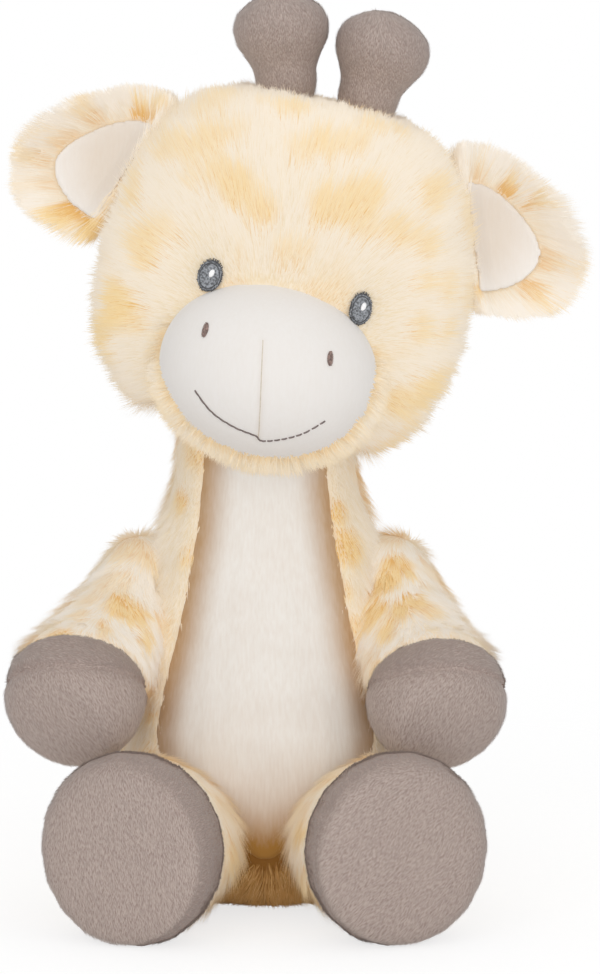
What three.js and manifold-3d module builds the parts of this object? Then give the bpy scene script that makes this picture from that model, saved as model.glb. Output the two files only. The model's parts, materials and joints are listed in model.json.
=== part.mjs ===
// Plush giraffe, sitting with its forelegs over its hind legs and its head leaning to its left.
// Millimetres, +Z up, facing -Y; the origin is the middle of the flat seat. Left is the toy's own left, +X.
import * as THREE from 'three';
import { mergeVertices } from 'three/addons/utils/BufferGeometryUtils.js';
import Module from 'manifold-3d';

const wasm = await Module();
wasm.setup();

// Cloth and clearances
const skinWall = 2.6; // fur or plush with its backing
const velourWall = 1.6;
const gap = 0.3; // between pieces that touch
const jointGap = 0.6; // between round seats, whose facets turn past each other
const seatDepth = 0.5; // what the seat and the feet are cut flat by
const overrun = 8; // how far a cutter passes what it cuts
const skinSides = 28; // of the rings on the outside of the head and the torso
const fillSides = 16; // of the rings inside them
const limbSides = 18;
const limbFillSides = 12;
const threadSides = 14; // round each embroidered spot
const ballSides = 24;
const ballRows = 14;

// Torso
const torsoHeight = 162; // up to the neck's rim
const torsoHalfWidth = 48;
const torsoHalfDepth = 42;
// Height, half-width and half-depth of each ring
const torsoShares = [
  [0, 0.52, 0.48],
  [0.03, 0.74, 0.69],
  [0.09, 0.91, 0.88],
  [0.18, 1, 1],
  [0.36, 0.96, 0.965],
  [0.55, 0.84, 0.86],
  [0.74, 0.705, 0.74],
  [0.89, 0.605, 0.665],
  [1, 0.573, 0.655],
  [1.03, 0.57, 0.65],
];
// Half-width and height of the belly panel's edge, of the torso's half-width and height
const bellyShares = [
  [0.41, 1.04],
  [0.42, 0.93],
  [0.46, 0.79],
  [0.6, 0.56],
  [0.75, 0.36],
  [0.62, 0.25],
  [0.3, 0.18],
  [0.05, 0.12],
];
const bellySink = skinWall - velourWall; // how far the panel lies below the fur

// Bag of beads that weighs the seat
const pouchHalfWidth = 27;
const pouchHalfDepth = 22;
const pouchHeight = 17;
const pouchShares = [
  [0, 0.84],
  [0.22, 0.97],
  [0.5, 0.99],
  [0.82, 0.76],
  [1, 0.4],
];

// Neck: a ball of stuffing that the torso cups and the head rocks on
const neckOverhang = 3.5; // of the ball past the torso's rim, all round
const neckSway = 19.5; // degrees that the head's hollow clears the neck by, all round
const neckFlareClearance = 2;
const neckRows = 10; // of the hollow's round

// Head, measured from the neck's pivot
const headHalfWidth = 57;
const headHalfDepth = 48;
const headHalfHeight = 56;
const headRise = 31.5; // from the pivot up to its middle
const headLean = 12.5; // degrees
const headShares = [
  [-1, 0.42, 0.42],
  [-0.9, 0.64, 0.64],
  [-0.63, 0.91, 0.89],
  [-0.27, 1, 0.99],
  [0.09, 1, 1],
  [0.45, 0.935, 0.95],
  [0.71, 0.81, 0.84],
  [0.9, 0.65, 0.68],
  [1, 0.45, 0.46],
];

// Muzzle, measured from the head's middle
const muzzleHalfWidth = 35;
const muzzleHalfDepth = 29;
const muzzleHalfHeight = 28.5;
const muzzleDrop = 28;
const muzzleAcross = 0.5; // off the head's middle to the toy's left
const muzzleForward = 41;

// Embroidery, measured from the head's middle
const threadHeight = 0.9;
const eyeAcross = 25;
const eyeShift = 1.3; // of both eyes to the toy's left
const eyeDrop = 2.8;
const eyeHalfWidth = 4;
const eyeHalfHeight = 5.4;
const eyeTurn = 6; // degrees that its top leans to the toy's left
const highlightRadius = 1.3;
const highlightAcross = 1.1;
const highlightRise = 2.3;
const nostrilAcross = 19.9;
const nostrilShift = -1.8; // of both nostrils to the toy's left
const nostrilDrop = 17.8;
const nostrilHalfWidth = 1.3;
const nostrilHalfHeight = 2.4;
const mouthWidth = 0.9;
const mouthSteps = 12;
// Across and height of the smile's points, of the muzzle's half-width and half-height
const smileShares = [
  [-0.61, -0.31],
  [-0.42, -0.5],
  [-0.2, -0.605],
  [0, -0.65],
  [0.07, -0.695],
  [0.24, -0.63],
  [0.42, -0.51],
  [0.59, -0.32],
];

// Ears, measured along their root
const earLength = 30;
const earHalfHeight = 26;
const earRootRadius = 3.4;
const earThickness = 5;
const earRimThickness = 2.4;
const earCup = 7; // how deep the front is hollowed
const earDroop = 15; // how far the tip falls below the root's middle
const earRise = 27; // from the head's middle up to the root's
const earSag = 4; // how much lower the right ear is sewn
const earBack = 4; // from the head's middle back to the root's
const earLean = 20; // degrees that the root follows the head inward
const earRootShares = [0.95, 0.6]; // of the root's radius, where its rounded rows lie
const earEndPower = 2.6; // the higher, the blunter the tip
const earEdgePower = 0.6;
const earCupPower = 0.7;
const earDroopPower = 1.5;
const earSteps = 9;
const earColumnSteps = 5; // from the middle to each edge
// Lining of the ear, in shares of the ways to the ear's tip and from its middle to its edges
const liningEndShare = 0.72;
const liningLowShare = 0.78;
const liningHighShare = 0.62;
const liningLastShare = 0.94; // of the quarter turn that rounds its tip
const liningSteps = 7;
const liningColumnSteps = 5;

// Ossicones, measured from the pivot in their root
const ossiconeRadius = 15.4;
const ossiconeStemRadius = 9.6;
const ossiconeHeight = 29;
const ossiconeAcross = 13.5;
const ossiconeRise = 5; // from the top of the head up to the pivot
const ossiconeForward = 2;
const ossiconeSplay = 11; // degrees
const ossiconeFlop = 7; // degrees that both lean to the toy's right
const ossiconeMouthRadius = 5.5; // the opening in the root that it is stuffed through
const ossiconeSides = 16;
const ossiconeRootRows = 4; // of the rounded root
// Height above the pivot and radius, of the knob's height and radius
const ossiconeShares = [
  [0.15, 0.63],
  [0.3, 0.76],
  [0.46, 0.94],
  [0.62, 1],
  [0.78, 0.91],
  [0.91, 0.62],
  [0.98, 0.28],
];

// Forelegs, called arms because the toy sits: measured from the shoulder's pivot
const armHeight = 106; // of the pivot above the seat
const armLean = 11.3; // degrees that the torso's side leans inward
const armRootAcross = 4; // from the torso's flank out to the root's middle
const armRootRadius = 13;
const armElbowRadius = 17;
const armWristRadius = 19.5;
const armHoofRadius = 22.4;
const armHoofAcross = 14;
const armHoofForward = 35;
const armHoofRise = 12.4; // of the hoof's middle above the hind leg that it rests on
// Across, forward and down, of the way from the pivot to the hoof's middle
const armElbowShares = [0.46, 0.29, 0.44];
const armWristShares = [0.79, 0.67, 0.81];
const armShift = 3; // of both hooves to the toy's right
const armLift = 45; // degrees that it can be raised by before it meets the torso's front
const armPadDepth = 11.5; // how far the pad stands out from its seam
const armHoofLength = 6; // from the hoof's middle to the pad's seam
const armCuffReach = 5.5; // from the wrist on to the seam between fur and hoof
const armSeamShare = 0.97; // the pad's seam, of the hoof's radius
const armRootShares = [0.12, 0.32, 0.62]; // of a quarter turn, where the shoulder's rounded rows lie
// How far out and how wide each row of the pad is, of its depth and its seam
const armPadShares = [
  [0.45, 0.93],
  [0.8, 0.79],
  [1, 0.3],
];
const armSteps = 8;

// Hind legs, measured from the hip seam at the foot of their root
const hipHeight = 14;
const hipAlong = 19; // from the middle of the toy's lap out along the hip seam
const hipRadius = 7;
const legSplay = 18; // degrees
const legLength = 38.5; // from the hip seam to the sole
const footHalfWidth = 28.5;
const footTop = 47; // above the hip seam
const legBandShare = 0.45; // where the fur meets the hoof's band
const legSoleShare = 0.92; // where the band meets the sole
// Half-width, top and bottom of each ring, after its distance along the leg or back into the hip seam's radius
const legShares = [
  [-0.99, 0.6, 0.53, 0],
  [-0.72, 0.8, 0.68, 0.3],
  [0, 0.91, 0.8, 0.49],
  [0.16, 0.94, 0.87, 0.68],
  [0.36, 0.96, 0.92, 0.86],
  [0.56, 0.985, 0.97, 0.97],
  [0.7, 1, 1, 1],
  [0.82, 1, 1, 1],
  [0.92, 0.93, 0.95, 0.86],
  [0.975, 0.73, 0.84, 0.51],
  [1, 0.38, 0.61, 0.02],
];

// Tail on the back of the torso, measured from its root's pivot
const tailHeight = 54;
const tailRootRadius = 5.4;
const tailTipRadius = 4.2;
const tailReach = 11; // how far the tip stands off behind the root
const tailDrop = 27; // how far the tip hangs below the root
const tuftRadius = 7.2;
const tuftLength = 19;
const tailRootShares = [0.95, 0.6]; // of the root's radius, where its rounded rows lie
const tailSteps = 8;
// Distance down the tuft and radius
const tuftShares = [
  [0, 0.55],
  [0.2, 0.85],
  [0.45, 1],
  [0.7, 0.8],
  [0.9, 0.45],
  [1, 0.15],
];

const degrees = THREE.MathUtils.degToRad;
const at = (x, y, z) => new THREE.Vector3(x, y, z);
const along = (direction, length) => direction.clone().multiplyScalar(length);

// An oval of points about a middle, counter-clockwise about across x up
function ovalRing(middle, across, up, sides) {
  return Array.from({ length: sides }, (_, i) => {
    const turn = (2 * Math.PI * i) / sides;
    return middle.clone().addScaledVector(across, Math.cos(turn)).addScaledVector(up, Math.sin(turn));
  });
}

// A closed skin over rings with equally many points, with a flat lid at each end
function loft(rings) {
  const sides = rings[0].length;
  const points = rings.flat();
  const index = [];
  for (let ring = 0; ring < rings.length - 1; ring++) {
    for (let i = 0; i < sides; i++) {
      const a = ring * sides + i;
      const b = ring * sides + ((i + 1) % sides);
      index.push(a, b, b + sides, a, b + sides, a + sides);
    }
  }
  for (const [ring, first] of [[rings[0], 0], [rings.at(-1), points.length - sides]]) {
    const middle = ring.reduce((sum, point) => sum.add(point), at(0, 0, 0)).divideScalar(sides);
    const lid = points.push(middle) - 1;
    for (let i = 0; i < sides; i++) {
      const pair = [first + i, first + ((i + 1) % sides)];
      index.push(lid, ...(first ? pair : pair.reverse()));
    }
  }
  return new THREE.BufferGeometry().setFromPoints(points).setIndex(index);
}

// Rows of shares as a smooth run of rows, so many to each that is given
function smooth(rows, steps) {
  const places = rows.map((row) => at(row[0], row[1], row[2] ?? 0));
  const extras = rows.map((row) => at(row[3] ?? 0, 0, 0));
  const curves = [places, extras].map((list) => new THREE.CatmullRomCurve3(list, false, 'catmullrom', 0.5));
  const count = (rows.length - 1) * steps;
  return Array.from({ length: count + 1 }, (_, i) => {
    const [place, extra] = curves.map((curve) => curve.getPoint(i / count));
    return [place.x, place.y, place.z, extra.x];
  });
}

// A solid for joining and cutting, facing out whichever way its geometry was wound
function solid(geometry) {
  const bare = geometry.clone();
  bare.deleteAttribute('normal');
  bare.deleteAttribute('uv');
  const shape = mergeVertices(bare);
  const place = shape.getAttribute('position');
  const index = Array.from(shape.index.array);
  const [a, b, c] = [0, 1, 2].map(() => at(0, 0, 0));
  let volume = 0;
  for (let i = 0; i < index.length; i += 3) {
    [a, b, c].forEach((corner, k) => corner.fromBufferAttribute(place, index[i + k]));
    volume += a.dot(b.cross(c));
  }
  if (volume < 0) index.reverse();
  const triVerts = new Uint32Array(index);
  const vertProperties = new Float32Array(place.array);
  return new wasm.Manifold(new wasm.Mesh({ numProp: 3, vertProperties, triVerts }));
}

// A solid's surface as a geometry to show
function surface(body) {
  const mesh = body.getMesh();
  const geometry = new THREE.BufferGeometry();
  geometry.setAttribute('position', new THREE.BufferAttribute(new Float32Array(mesh.vertProperties), 3));
  geometry.setIndex(new THREE.BufferAttribute(new Uint32Array(mesh.triVerts), 1));
  return geometry;
}

// A solid without the slivers and bubbles that a cut left
function biggest(body) {
  return body.decompose().reduce((best, piece) => (piece.volume() > best.volume() ? piece : best));
}

// The same solid on the other side of the toy
function mirrored(body) {
  return solid(surface(body).scale(-1, 1, 1));
}

// A block that runs from one distance to another along a direction, and past everything across it
function slab(start, direction, from, to) {
  const reach = 2 * (torsoHeight + headHalfHeight);
  const block = new THREE.BoxGeometry(reach, reach, to - from);
  block.translate(0, 0, (from + to) / 2);
  block.applyQuaternion(new THREE.Quaternion().setFromUnitVectors(at(0, 0, 1), direction));
  return solid(block.translate(...start));
}

// An outline drawn across and up, cut from front to back between two depths
function cutter(points, near, far) {
  const shape = new THREE.Shape(points.map(([across, up]) => new THREE.Vector2(across, up)));
  const block = new THREE.ExtrudeGeometry(shape, { depth: far - near, bevelEnabled: false });
  return solid(block.rotateX(Math.PI / 2).translate(0, far, 0));
}

function ovalOutline(across, up, halfWidth, halfHeight, turn = 0) {
  return Array.from({ length: threadSides }, (_, i) => {
    const spot = new THREE.Vector2(
      halfWidth * Math.cos((2 * Math.PI * i) / threadSides),
      halfHeight * Math.sin((2 * Math.PI * i) / threadSides),
    );
    spot.rotateAround(new THREE.Vector2(0, 0), -turn);
    return [across + spot.x, up + spot.y];
  });
}

// A band of even width along a curve, as an outline
function bandOutline(curve, width, steps) {
  const sides = [[], []];
  for (let i = 0; i <= steps; i++) {
    const middle = curve.getPoint(i / steps);
    const tangent = curve.getTangent(i / steps);
    sides[0].push([middle.x - (tangent.y * width) / 2, middle.y + (tangent.x * width) / 2]);
    sides[1].unshift([middle.x + (tangent.y * width) / 2, middle.y - (tangent.x * width) / 2]);
  }
  return sides.flat();
}

// The furthest that a geometry reaches along a direction, below a height
function reachOf(geometry, direction, below = Infinity) {
  const place = geometry.getAttribute('position');
  let furthest = -Infinity;
  for (let i = 0; i < place.count; i++) {
    const point = at(0, 0, 0).fromBufferAttribute(place, i);
    if (point.z < below) furthest = Math.max(furthest, point.dot(direction));
  }
  return furthest;
}

const finish = (color, roughness) => new THREE.MeshStandardMaterial({ color, roughness, metalness: 0 });
const materials = {
  fur: finish(0xf2dfae, 0.95),
  velour: finish(0xece8e4, 0.9),
  bellyVelour: finish(0xf3ebdc, 0.9),
  plush: finish(0x94867f, 0.95),
  eyeThread: finish(0x565960, 0.6),
  whiteThread: finish(0xf6f6f4, 0.6),
  brownThread: finish(0x7a625d, 0.7),
  stuffing: finish(0xf8f7f3, 1),
  beadCloth: finish(0xdcd8d0, 0.9),
};

function add(parent, name, material, body) {
  const mesh = new THREE.Mesh(surface(body), materials[material]);
  mesh.name = name;
  parent.add(mesh);
}

// Torso, its belly panel and what fills it

function torsoForm(inset, sides, steps) {
  const foot = inset - seatDepth;
  return loft(smooth(torsoShares, steps).map(([height, width, depth]) => ovalRing(
    at(0, 0, foot + height * (torsoHeight - foot)),
    at(width * torsoHalfWidth - inset, 0, 0),
    at(0, depth * torsoHalfDepth - inset, 0),
    sides,
  )));
}

function bellyCutter(growth) {
  const half = smooth(bellyShares, 2).map(([across, up]) => [
    across * torsoHalfWidth + growth,
    up * torsoHeight,
  ]);
  half.at(-1)[1] -= growth;
  const other = half.map(([across, up]) => [-across, up]).reverse();
  return cutter([...half, ...other], -torsoHalfDepth - overrun, -seatDepth);
}

function pouchForm(growth, foot) {
  return loft(smooth(pouchShares, 2).map(([height, width], i) => ovalRing(
    at(0, 0, i ? skinWall + gap + height * pouchHeight + growth : foot),
    at(width * pouchHalfWidth + growth, 0, 0),
    at(0, width * pouchHalfDepth + growth, 0),
    limbSides,
  )));
}

const rimRadius = torsoShares.at(-2)[1] * torsoHalfWidth;
const neckBallRadius = rimRadius + neckOverhang;
const pivotHeight = torsoHeight + Math.sqrt(neckBallRadius ** 2 - rimRadius ** 2);
const ballSpace = solid(new THREE.SphereGeometry(neckBallRadius + jointGap, ballSides, ballRows));
const floor = slab(at(0, 0, 0), at(0, 0, 1), -overrun, 0);

function makeTorso(parent) {
  const cup = ballSpace.translate([0, 0, pivotHeight]);
  const form = (inset, sides, steps) => solid(torsoForm(inset, sides, steps)).subtract(floor).subtract(cup);
  const inside = solid(torsoForm(skinWall, fillSides, 1));
  const skin = form(0, skinSides, 2).subtract(inside);
  const panel = form(bellySink, skinSides, 2).subtract(inside);
  const stuffing = form(skinWall + gap, fillSides, 1);
  add(parent, 'torso_fur', 'fur', skin.subtract(bellyCutter(gap)));
  add(parent, 'belly_panel', 'bellyVelour', panel.intersect(bellyCutter(0)));
  add(parent, 'torso_stuffing', 'stuffing', stuffing.subtract(solid(pouchForm(gap, -overrun))));
  add(parent, 'bead_pouch', 'beadCloth', solid(pouchForm(0, skinWall + gap)));
}

function makeNeck(parent) {
  const ball = new THREE.SphereGeometry(neckBallRadius, ballSides, ballRows);
  add(parent, 'neck_stuffing', 'stuffing', solid(ball));
}

// Head, with the neck's pivot as its origin

function headForm(inset, sides, steps) {
  return loft(smooth(headShares, steps).map(([height, width, depth]) => ovalRing(
    at(0, 0, headRise + height * (headHalfHeight - inset)),
    at(width * headHalfWidth - inset, 0, 0),
    at(0, depth * headHalfDepth - inset, 0),
    sides,
  )));
}

function muzzleForm(inset, sides) {
  const ball = new THREE.SphereGeometry(1, sides, Math.round(sides / 2));
  ball.scale(muzzleHalfWidth - inset, muzzleHalfDepth - inset, muzzleHalfHeight - inset);
  return ball.translate(muzzleAcross, -muzzleForward, headRise - muzzleDrop);
}

// The room for the neck: the ball's own, opened below so that the head can lean over the torso's rim
function neckHollow() {
  const radius = neckBallRadius + jointGap;
  const sway = degrees(neckSway);
  const clear = rimRadius + neckFlareClearance + gap;
  const meet = sway - Math.acos(clear / radius);
  const profile = [];
  const bottom = headHalfHeight - headRise + overrun;
  const flare = (clear + bottom * Math.sin(sway)) / Math.cos(sway);
  profile.push(new THREE.Vector2(0, -bottom), new THREE.Vector2(flare, -bottom));
  for (let i = 0; i <= neckRows; i++) {
    const turn = meet + (Math.PI / 2 - meet) * (i / neckRows);
    const across = i < neckRows ? radius * Math.cos(turn) : 0;
    profile.push(new THREE.Vector2(across, radius * Math.sin(turn)));
  }
  return solid(new THREE.LatheGeometry(profile, skinSides).rotateX(Math.PI / 2));
}

// A layer of thread on the front of the head or the muzzle, inside an outline
function embroidery(form, level, outline, middle) {
  const under = level * (threadHeight + gap) + gap;
  const layer = solid(form(-under - threadHeight)).subtract(solid(form(-under)));
  const front = -muzzleForward - muzzleHalfDepth - overrun;
  return layer.intersect(cutter(outline, front, middle));
}

function makeFace(parent) {
  const onHead = (inset) => headForm(inset, skinSides, 2);
  const onMuzzle = (inset) => muzzleForm(inset, skinSides);
  for (const [name, side] of [['left', 1], ['right', -1]]) {
    const eye = [side * eyeAcross + eyeShift, headRise - eyeDrop];
    const oval = ovalOutline(...eye, eyeHalfWidth, eyeHalfHeight, degrees(eyeTurn));
    const patch = embroidery(onHead, 0, oval, 0).subtract(solid(muzzleForm(-gap, skinSides)));
    add(parent, `eye_${name}`, 'eyeThread', patch);
    const spot = [eye[0] + highlightAcross, eye[1] + highlightRise, highlightRadius, highlightRadius];
    add(parent, `eye_highlight_${name}`, 'whiteThread', embroidery(onHead, 1, ovalOutline(...spot), 0));
    const hollow = [nostrilShift + side * nostrilAcross, headRise - nostrilDrop];
    const nostril = [...hollow, nostrilHalfWidth, nostrilHalfHeight];
    const hole = embroidery(onMuzzle, 0, ovalOutline(...nostril), -muzzleForward);
    add(parent, `nostril_${name}`, 'brownThread', hole);
  }
  const smile = new THREE.SplineCurve(smileShares.map(([across, up]) => new THREE.Vector2(
    muzzleAcross + across * muzzleHalfWidth,
    headRise - muzzleDrop + up * muzzleHalfHeight,
  )));
  const mouth = embroidery(onMuzzle, 0, bandOutline(smile, mouthWidth, mouthSteps), -muzzleForward);
  add(parent, 'mouth_stitch', 'brownThread', mouth);
}

function ossiconeForm(inset, sides) {
  const root = ossiconeStemRadius - inset;
  const profile = [];
  for (let i = 0; i <= ossiconeRootRows; i++) {
    const turn = (Math.PI / 2) * (i / ossiconeRootRows - 1);
    profile.push(new THREE.Vector2(i ? root * Math.cos(turn) : 0, root * Math.sin(turn)));
  }
  for (const [height, radius] of ossiconeShares) {
    profile.push(new THREE.Vector2(
      Math.max(radius * ossiconeRadius - inset, ossiconeMouthRadius * radius),
      height * ossiconeHeight - inset * height,
    ));
  }
  profile.push(new THREE.Vector2(0, ossiconeHeight - inset));
  return solid(new THREE.LatheGeometry(profile, sides).rotateX(Math.PI / 2));
}

const ossiconePivot = (side) => at(
  side * ossiconeAcross,
  -ossiconeForward,
  headRise + headHalfHeight + ossiconeRise,
);

function makeOssicone(parent, name, side) {
  const ossicone = new THREE.Group();
  ossicone.position.copy(ossiconePivot(side));
  ossicone.rotation.y = degrees(side * ossiconeSplay - ossiconeFlop);
  parent.add(ossicone);
  const mouth = new THREE.CylinderGeometry(
    ossiconeMouthRadius,
    ossiconeMouthRadius,
    ossiconeStemRadius,
    limbFillSides,
  );
  const opening = solid(mouth.rotateX(Math.PI / 2).translate(0, 0, -ossiconeStemRadius));
  const inside = ossiconeForm(skinWall, limbFillSides);
  const skin = ossiconeForm(0, ossiconeSides).subtract(inside).subtract(opening);
  add(ossicone, `ossicone_skin_${name}`, 'plush', skin);
  add(ossicone, `ossicone_stuffing_${name}`, 'stuffing', ossiconeForm(skinWall + gap, limbFillSides));
}

// A place in the middle of the ear's thickness, from shares of the ways to its tip and across it
function earPlace(share, across) {
  const run = Math.max(share, 0);
  const half = Math.max(earHalfHeight * (1 - run ** earEndPower) ** earEdgePower, earRimThickness);
  const bulge = 1 - across * across;
  const cup = earCup * bulge * Math.sin(Math.PI * run) ** earCupPower;
  const thin = THREE.MathUtils.lerp(earRimThickness, earThickness, Math.sqrt(bulge));
  const x = share * earLength;
  const thick = share > 0 ? thin : 2 * Math.sqrt(earRootRadius ** 2 - x * x);
  return { middle: at(x, cup, across * half - earDroop * run ** earDroopPower), half: thick / 2 };
}

// A sheet over some rows of the ear, each with its columns, between two depths that its places give
function earSheet(rows, backOf, frontOf) {
  return loft(rows.map(([share, columns]) => {
    const places = columns.map((across) => earPlace(share, across));
    const back = places.map(({ middle, half }) => middle.clone().setY(middle.y + backOf(half)));
    const front = places.map(({ middle, half }) => middle.clone().setY(middle.y + frontOf(half)));
    return [...back, ...front.reverse()];
  }));
}

const earColumns = Array.from({ length: 2 * earColumnSteps + 1 }, (_, i) => i / earColumnSteps - 1);
const earRows = Array.from({ length: earSteps + 1 }, (_, i) => i / earSteps);

function earBackForm(growth) {
  const root = earRootShares.map((share) => (-share * earRootRadius) / earLength);
  const rows = [...root, ...earRows].map((share) => [share, earColumns]);
  return earSheet(rows, (half) => half, (half) => -half - growth);
}

function earLiningForm() {
  const rows = [];
  for (let i = 0; i <= liningSteps; i++) {
    const turn = (Math.PI / 2) * liningLastShare * (i / liningSteps);
    const low = -liningLowShare * Math.cos(turn);
    const high = liningHighShare * Math.cos(turn);
    const columns = [];
    for (let k = 0; k <= liningColumnSteps; k++) {
      columns.push(THREE.MathUtils.lerp(low, high, k / liningColumnSteps));
    }
    rows.push([liningEndShare * Math.sin(turn), columns]);
  }
  return earSheet(rows, () => 0, (half) => -half - gap - velourWall);
}

const earRoot = at(
  reachOf(headForm(0, skinSides, 2), at(Math.cos(degrees(earLean)), 0, Math.sin(degrees(earLean)))),
  earBack,
  0,
);

function makeEar(parent, name, side) {
  const lean = degrees(earLean);
  const outward = at(Math.cos(lean), 0, Math.sin(lean));
  const upward = at(-Math.sin(lean), 0, Math.cos(lean));
  const place = along(outward, earRoot.x + earRootRadius + gap);
  const sag = side > 0 ? 0 : earSag;
  const climb = (headRise + earRise - sag - place.z) / upward.z;
  place.addScaledVector(upward, climb).setY(earRoot.y);
  const ear = new THREE.Group();
  ear.position.set(side * place.x, place.y, place.z);
  ear.rotation.y = -side * lean;
  parent.add(ear);
  for (const [piece, material, body] of [
    ['ear_back', 'fur', solid(earBackForm(0))],
    ['ear_lining', 'velour', solid(earLiningForm()).subtract(solid(earBackForm(gap)))],
  ]) {
    add(ear, `${piece}_${name}`, material, side > 0 ? body : mirrored(body));
  }
}

function makeHead(parent) {
  const head = new THREE.Group();
  head.rotation.y = degrees(headLean);
  parent.add(head);
  const hollow = neckHollow();
  const inside = solid(headForm(skinWall, fillSides, 1));
  let skin = solid(headForm(0, skinSides, 2)).subtract(inside);
  let stuffing = solid(headForm(skinWall + gap, fillSides, 1));
  stuffing = stuffing.add(solid(muzzleForm(velourWall + gap, fillSides)));
  for (const side of [1, -1]) {
    const dimple = new THREE.SphereGeometry(ossiconeStemRadius + jointGap, ossiconeSides, limbFillSides);
    dimple.translate(...ossiconePivot(side));
    skin = skin.subtract(solid(dimple));
    stuffing = stuffing.subtract(solid(dimple));
  }
  const muzzle = solid(muzzleForm(0, skinSides)).subtract(solid(muzzleForm(velourWall, fillSides)));
  add(head, 'head_fur', 'fur', skin.subtract(hollow).subtract(solid(muzzleForm(-gap, skinSides))));
  const panel = muzzle.subtract(inside).subtract(hollow);
  add(head, 'muzzle_panel', 'velour', panel);
  add(head, 'head_stuffing', 'stuffing', stuffing.subtract(hollow));
  makeFace(head);
  for (const [name, side] of [['left', 1], ['right', -1]]) {
    makeEar(head, name, side);
    makeOssicone(head, name, side);
  }
}

// Forelegs

const armTurn = degrees(armLean);
const armOutward = at(Math.cos(armTurn), 0, Math.sin(armTurn));

// Its middle line: the shoulder, the elbow, the wrist, the hoof's middle and the pad's seam
function armPath(side) {
  const root = at(armRootAcross, 0, 0);
  const drop = (armHeight - hipHeight - footTop - armHoofRise + armHoofAcross * armOutward.z) / armOutward.x;
  const [elbow, wrist, hoof] = [armElbowShares, armWristShares, [1, 1, 1]].map(([across, forward, down]) => at(
    across * armHoofAcross - side * down * armShift,
    -forward * armHoofForward,
    -down * drop,
  ));
  const end = hoof.clone().addScaledVector(hoof.clone().sub(wrist).normalize(), armHoofLength);
  return [root, elbow, wrist, hoof, end];
}

// Rings along the foreleg, rounded over the shoulder and at the pad
function armForm(side, inset, sides) {
  const places = armPath(side);
  const radii = [armRootRadius, armElbowRadius, armWristRadius, armHoofRadius, armSeamShare * armHoofRadius];
  const path = new THREE.CatmullRomCurve3(places);
  const girth = new THREE.SplineCurve(radii.map((radius, i) => new THREE.Vector2(i, radius)));
  const rings = [];
  const ring = (middle, direction, radius) => {
    const across = at(1, 0, 0).addScaledVector(direction, -direction.x).normalize();
    const up = direction.clone().cross(across);
    rings.push(ovalRing(middle, along(across, radius), along(up, radius), sides));
  };
  const first = path.getTangent(0);
  for (const share of armRootShares) {
    const angle = (Math.PI / 2) * share;
    const radius = armRootRadius - inset;
    const middle = places[0].clone().addScaledVector(first, -radius * Math.cos(angle));
    ring(middle, first, radius * Math.sin(angle));
  }
  for (let i = 0; i <= armSteps; i++) {
    const share = i / armSteps;
    ring(path.getPoint(share), path.getTangent(share), girth.getPoint(share).y - inset);
  }
  const last = path.getTangent(1);
  for (const [rise, width] of armPadShares) {
    const middle = places.at(-1).clone().addScaledVector(last, rise * (armPadDepth - inset / 2));
    ring(middle, last, width * (radii.at(-1) - inset));
  }
  return loft(rings);
}

// The shoulder's pivot lies just outside the torso's flank, which it never crosses as the foreleg turns
function armPivot() {
  const shoulderTop = armHeight + armRootRadius;
  const reach = reachOf(torsoForm(0, skinSides, 2), armOutward, shoulderTop) + gap;
  return at((reach - armHeight * armOutward.z) / armOutward.x, 0, armHeight);
}

// What the foreleg keeps clear of: the torso, lowered and raised, and the flank's plane behind the shoulder
function armStop(growth) {
  const pivot = armPivot();
  const torso = torsoForm(-growth, skinSides, 1).translate(-pivot.x, -pivot.y, -pivot.z);
  torso.rotateY(armTurn);
  const whenRaised = torso.clone().rotateX(degrees(armLift));
  const shoulder = armRootRadius + skinWall;
  const behind = new THREE.BoxGeometry(torsoHalfWidth, torsoHeight, 2 * torsoHeight);
  behind.translate(growth - torsoHalfWidth / 2, torsoHeight / 2, 0);
  const round = new THREE.CylinderGeometry(shoulder, shoulder, torsoHalfWidth, skinSides);
  round.rotateZ(Math.PI / 2).translate(growth - torsoHalfWidth / 2, 0, 0);
  return solid(torso).add(solid(whenRaised)).add(solid(behind)).add(solid(round));
}

function makeArm(parent, name, side) {
  const pivot = armPivot();
  const arm = new THREE.Group();
  arm.position.set(side * pivot.x, pivot.y, pivot.z);
  arm.rotation.y = -side * armTurn;
  parent.add(arm);
  const places = armPath(side);
  const forward = places[4].clone().sub(places[3]).normalize();
  const bend = places[3].clone().sub(places[1]).setX(0).normalize();
  const far = armHeight + armHoofForward;
  const body = (inset, sides) => solid(armForm(side, inset, sides)).subtract(armStop(gap + inset));
  const skin = body(0, limbSides).subtract(body(skinWall, limbFillSides));
  const beyondWrist = slab(places[2], bend, armCuffReach, far);
  const beforeWrist = slab(places[2], bend, -far, armCuffReach - gap);
  const pieces = {
    arm_fur: ['fur', skin.intersect(beforeWrist)],
    arm_hoof: ['plush', skin.intersect(beyondWrist).subtract(slab(places[4], forward, -gap, far))],
    arm_hoof_pad: ['plush', skin.intersect(slab(places[4], forward, 0, far))],
    arm_stuffing: ['stuffing', body(skinWall + gap, limbFillSides)],
  };
  for (const [piece, [material, shape]] of Object.entries(pieces)) {
    const whole = biggest(shape);
    add(arm, `${piece}_${name}`, material, side > 0 ? whole : mirrored(whole));
  }
}

// Hind legs

// Rings along the leg, full at the lap and rounded off below the hip seam
function legForm(inset, sides, steps) {
  const footBottom = hipHeight + seatDepth;
  const rings = [];
  const ring = (y, width, top, bottom) => rings.push(ovalRing(
    at(0, -y, (top - bottom) / 2),
    at(width - inset, 0, 0),
    at(0, 0, (top + bottom) / 2 - inset),
    sides,
  ));
  for (const [run, width, top, bottom] of smooth(legShares, steps)) {
    const reach = run < 0 ? hipRadius : legLength;
    ring(run * (reach - inset), width * footHalfWidth, top * footTop, bottom * footBottom);
  }
  return loft(rings);
}

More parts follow.
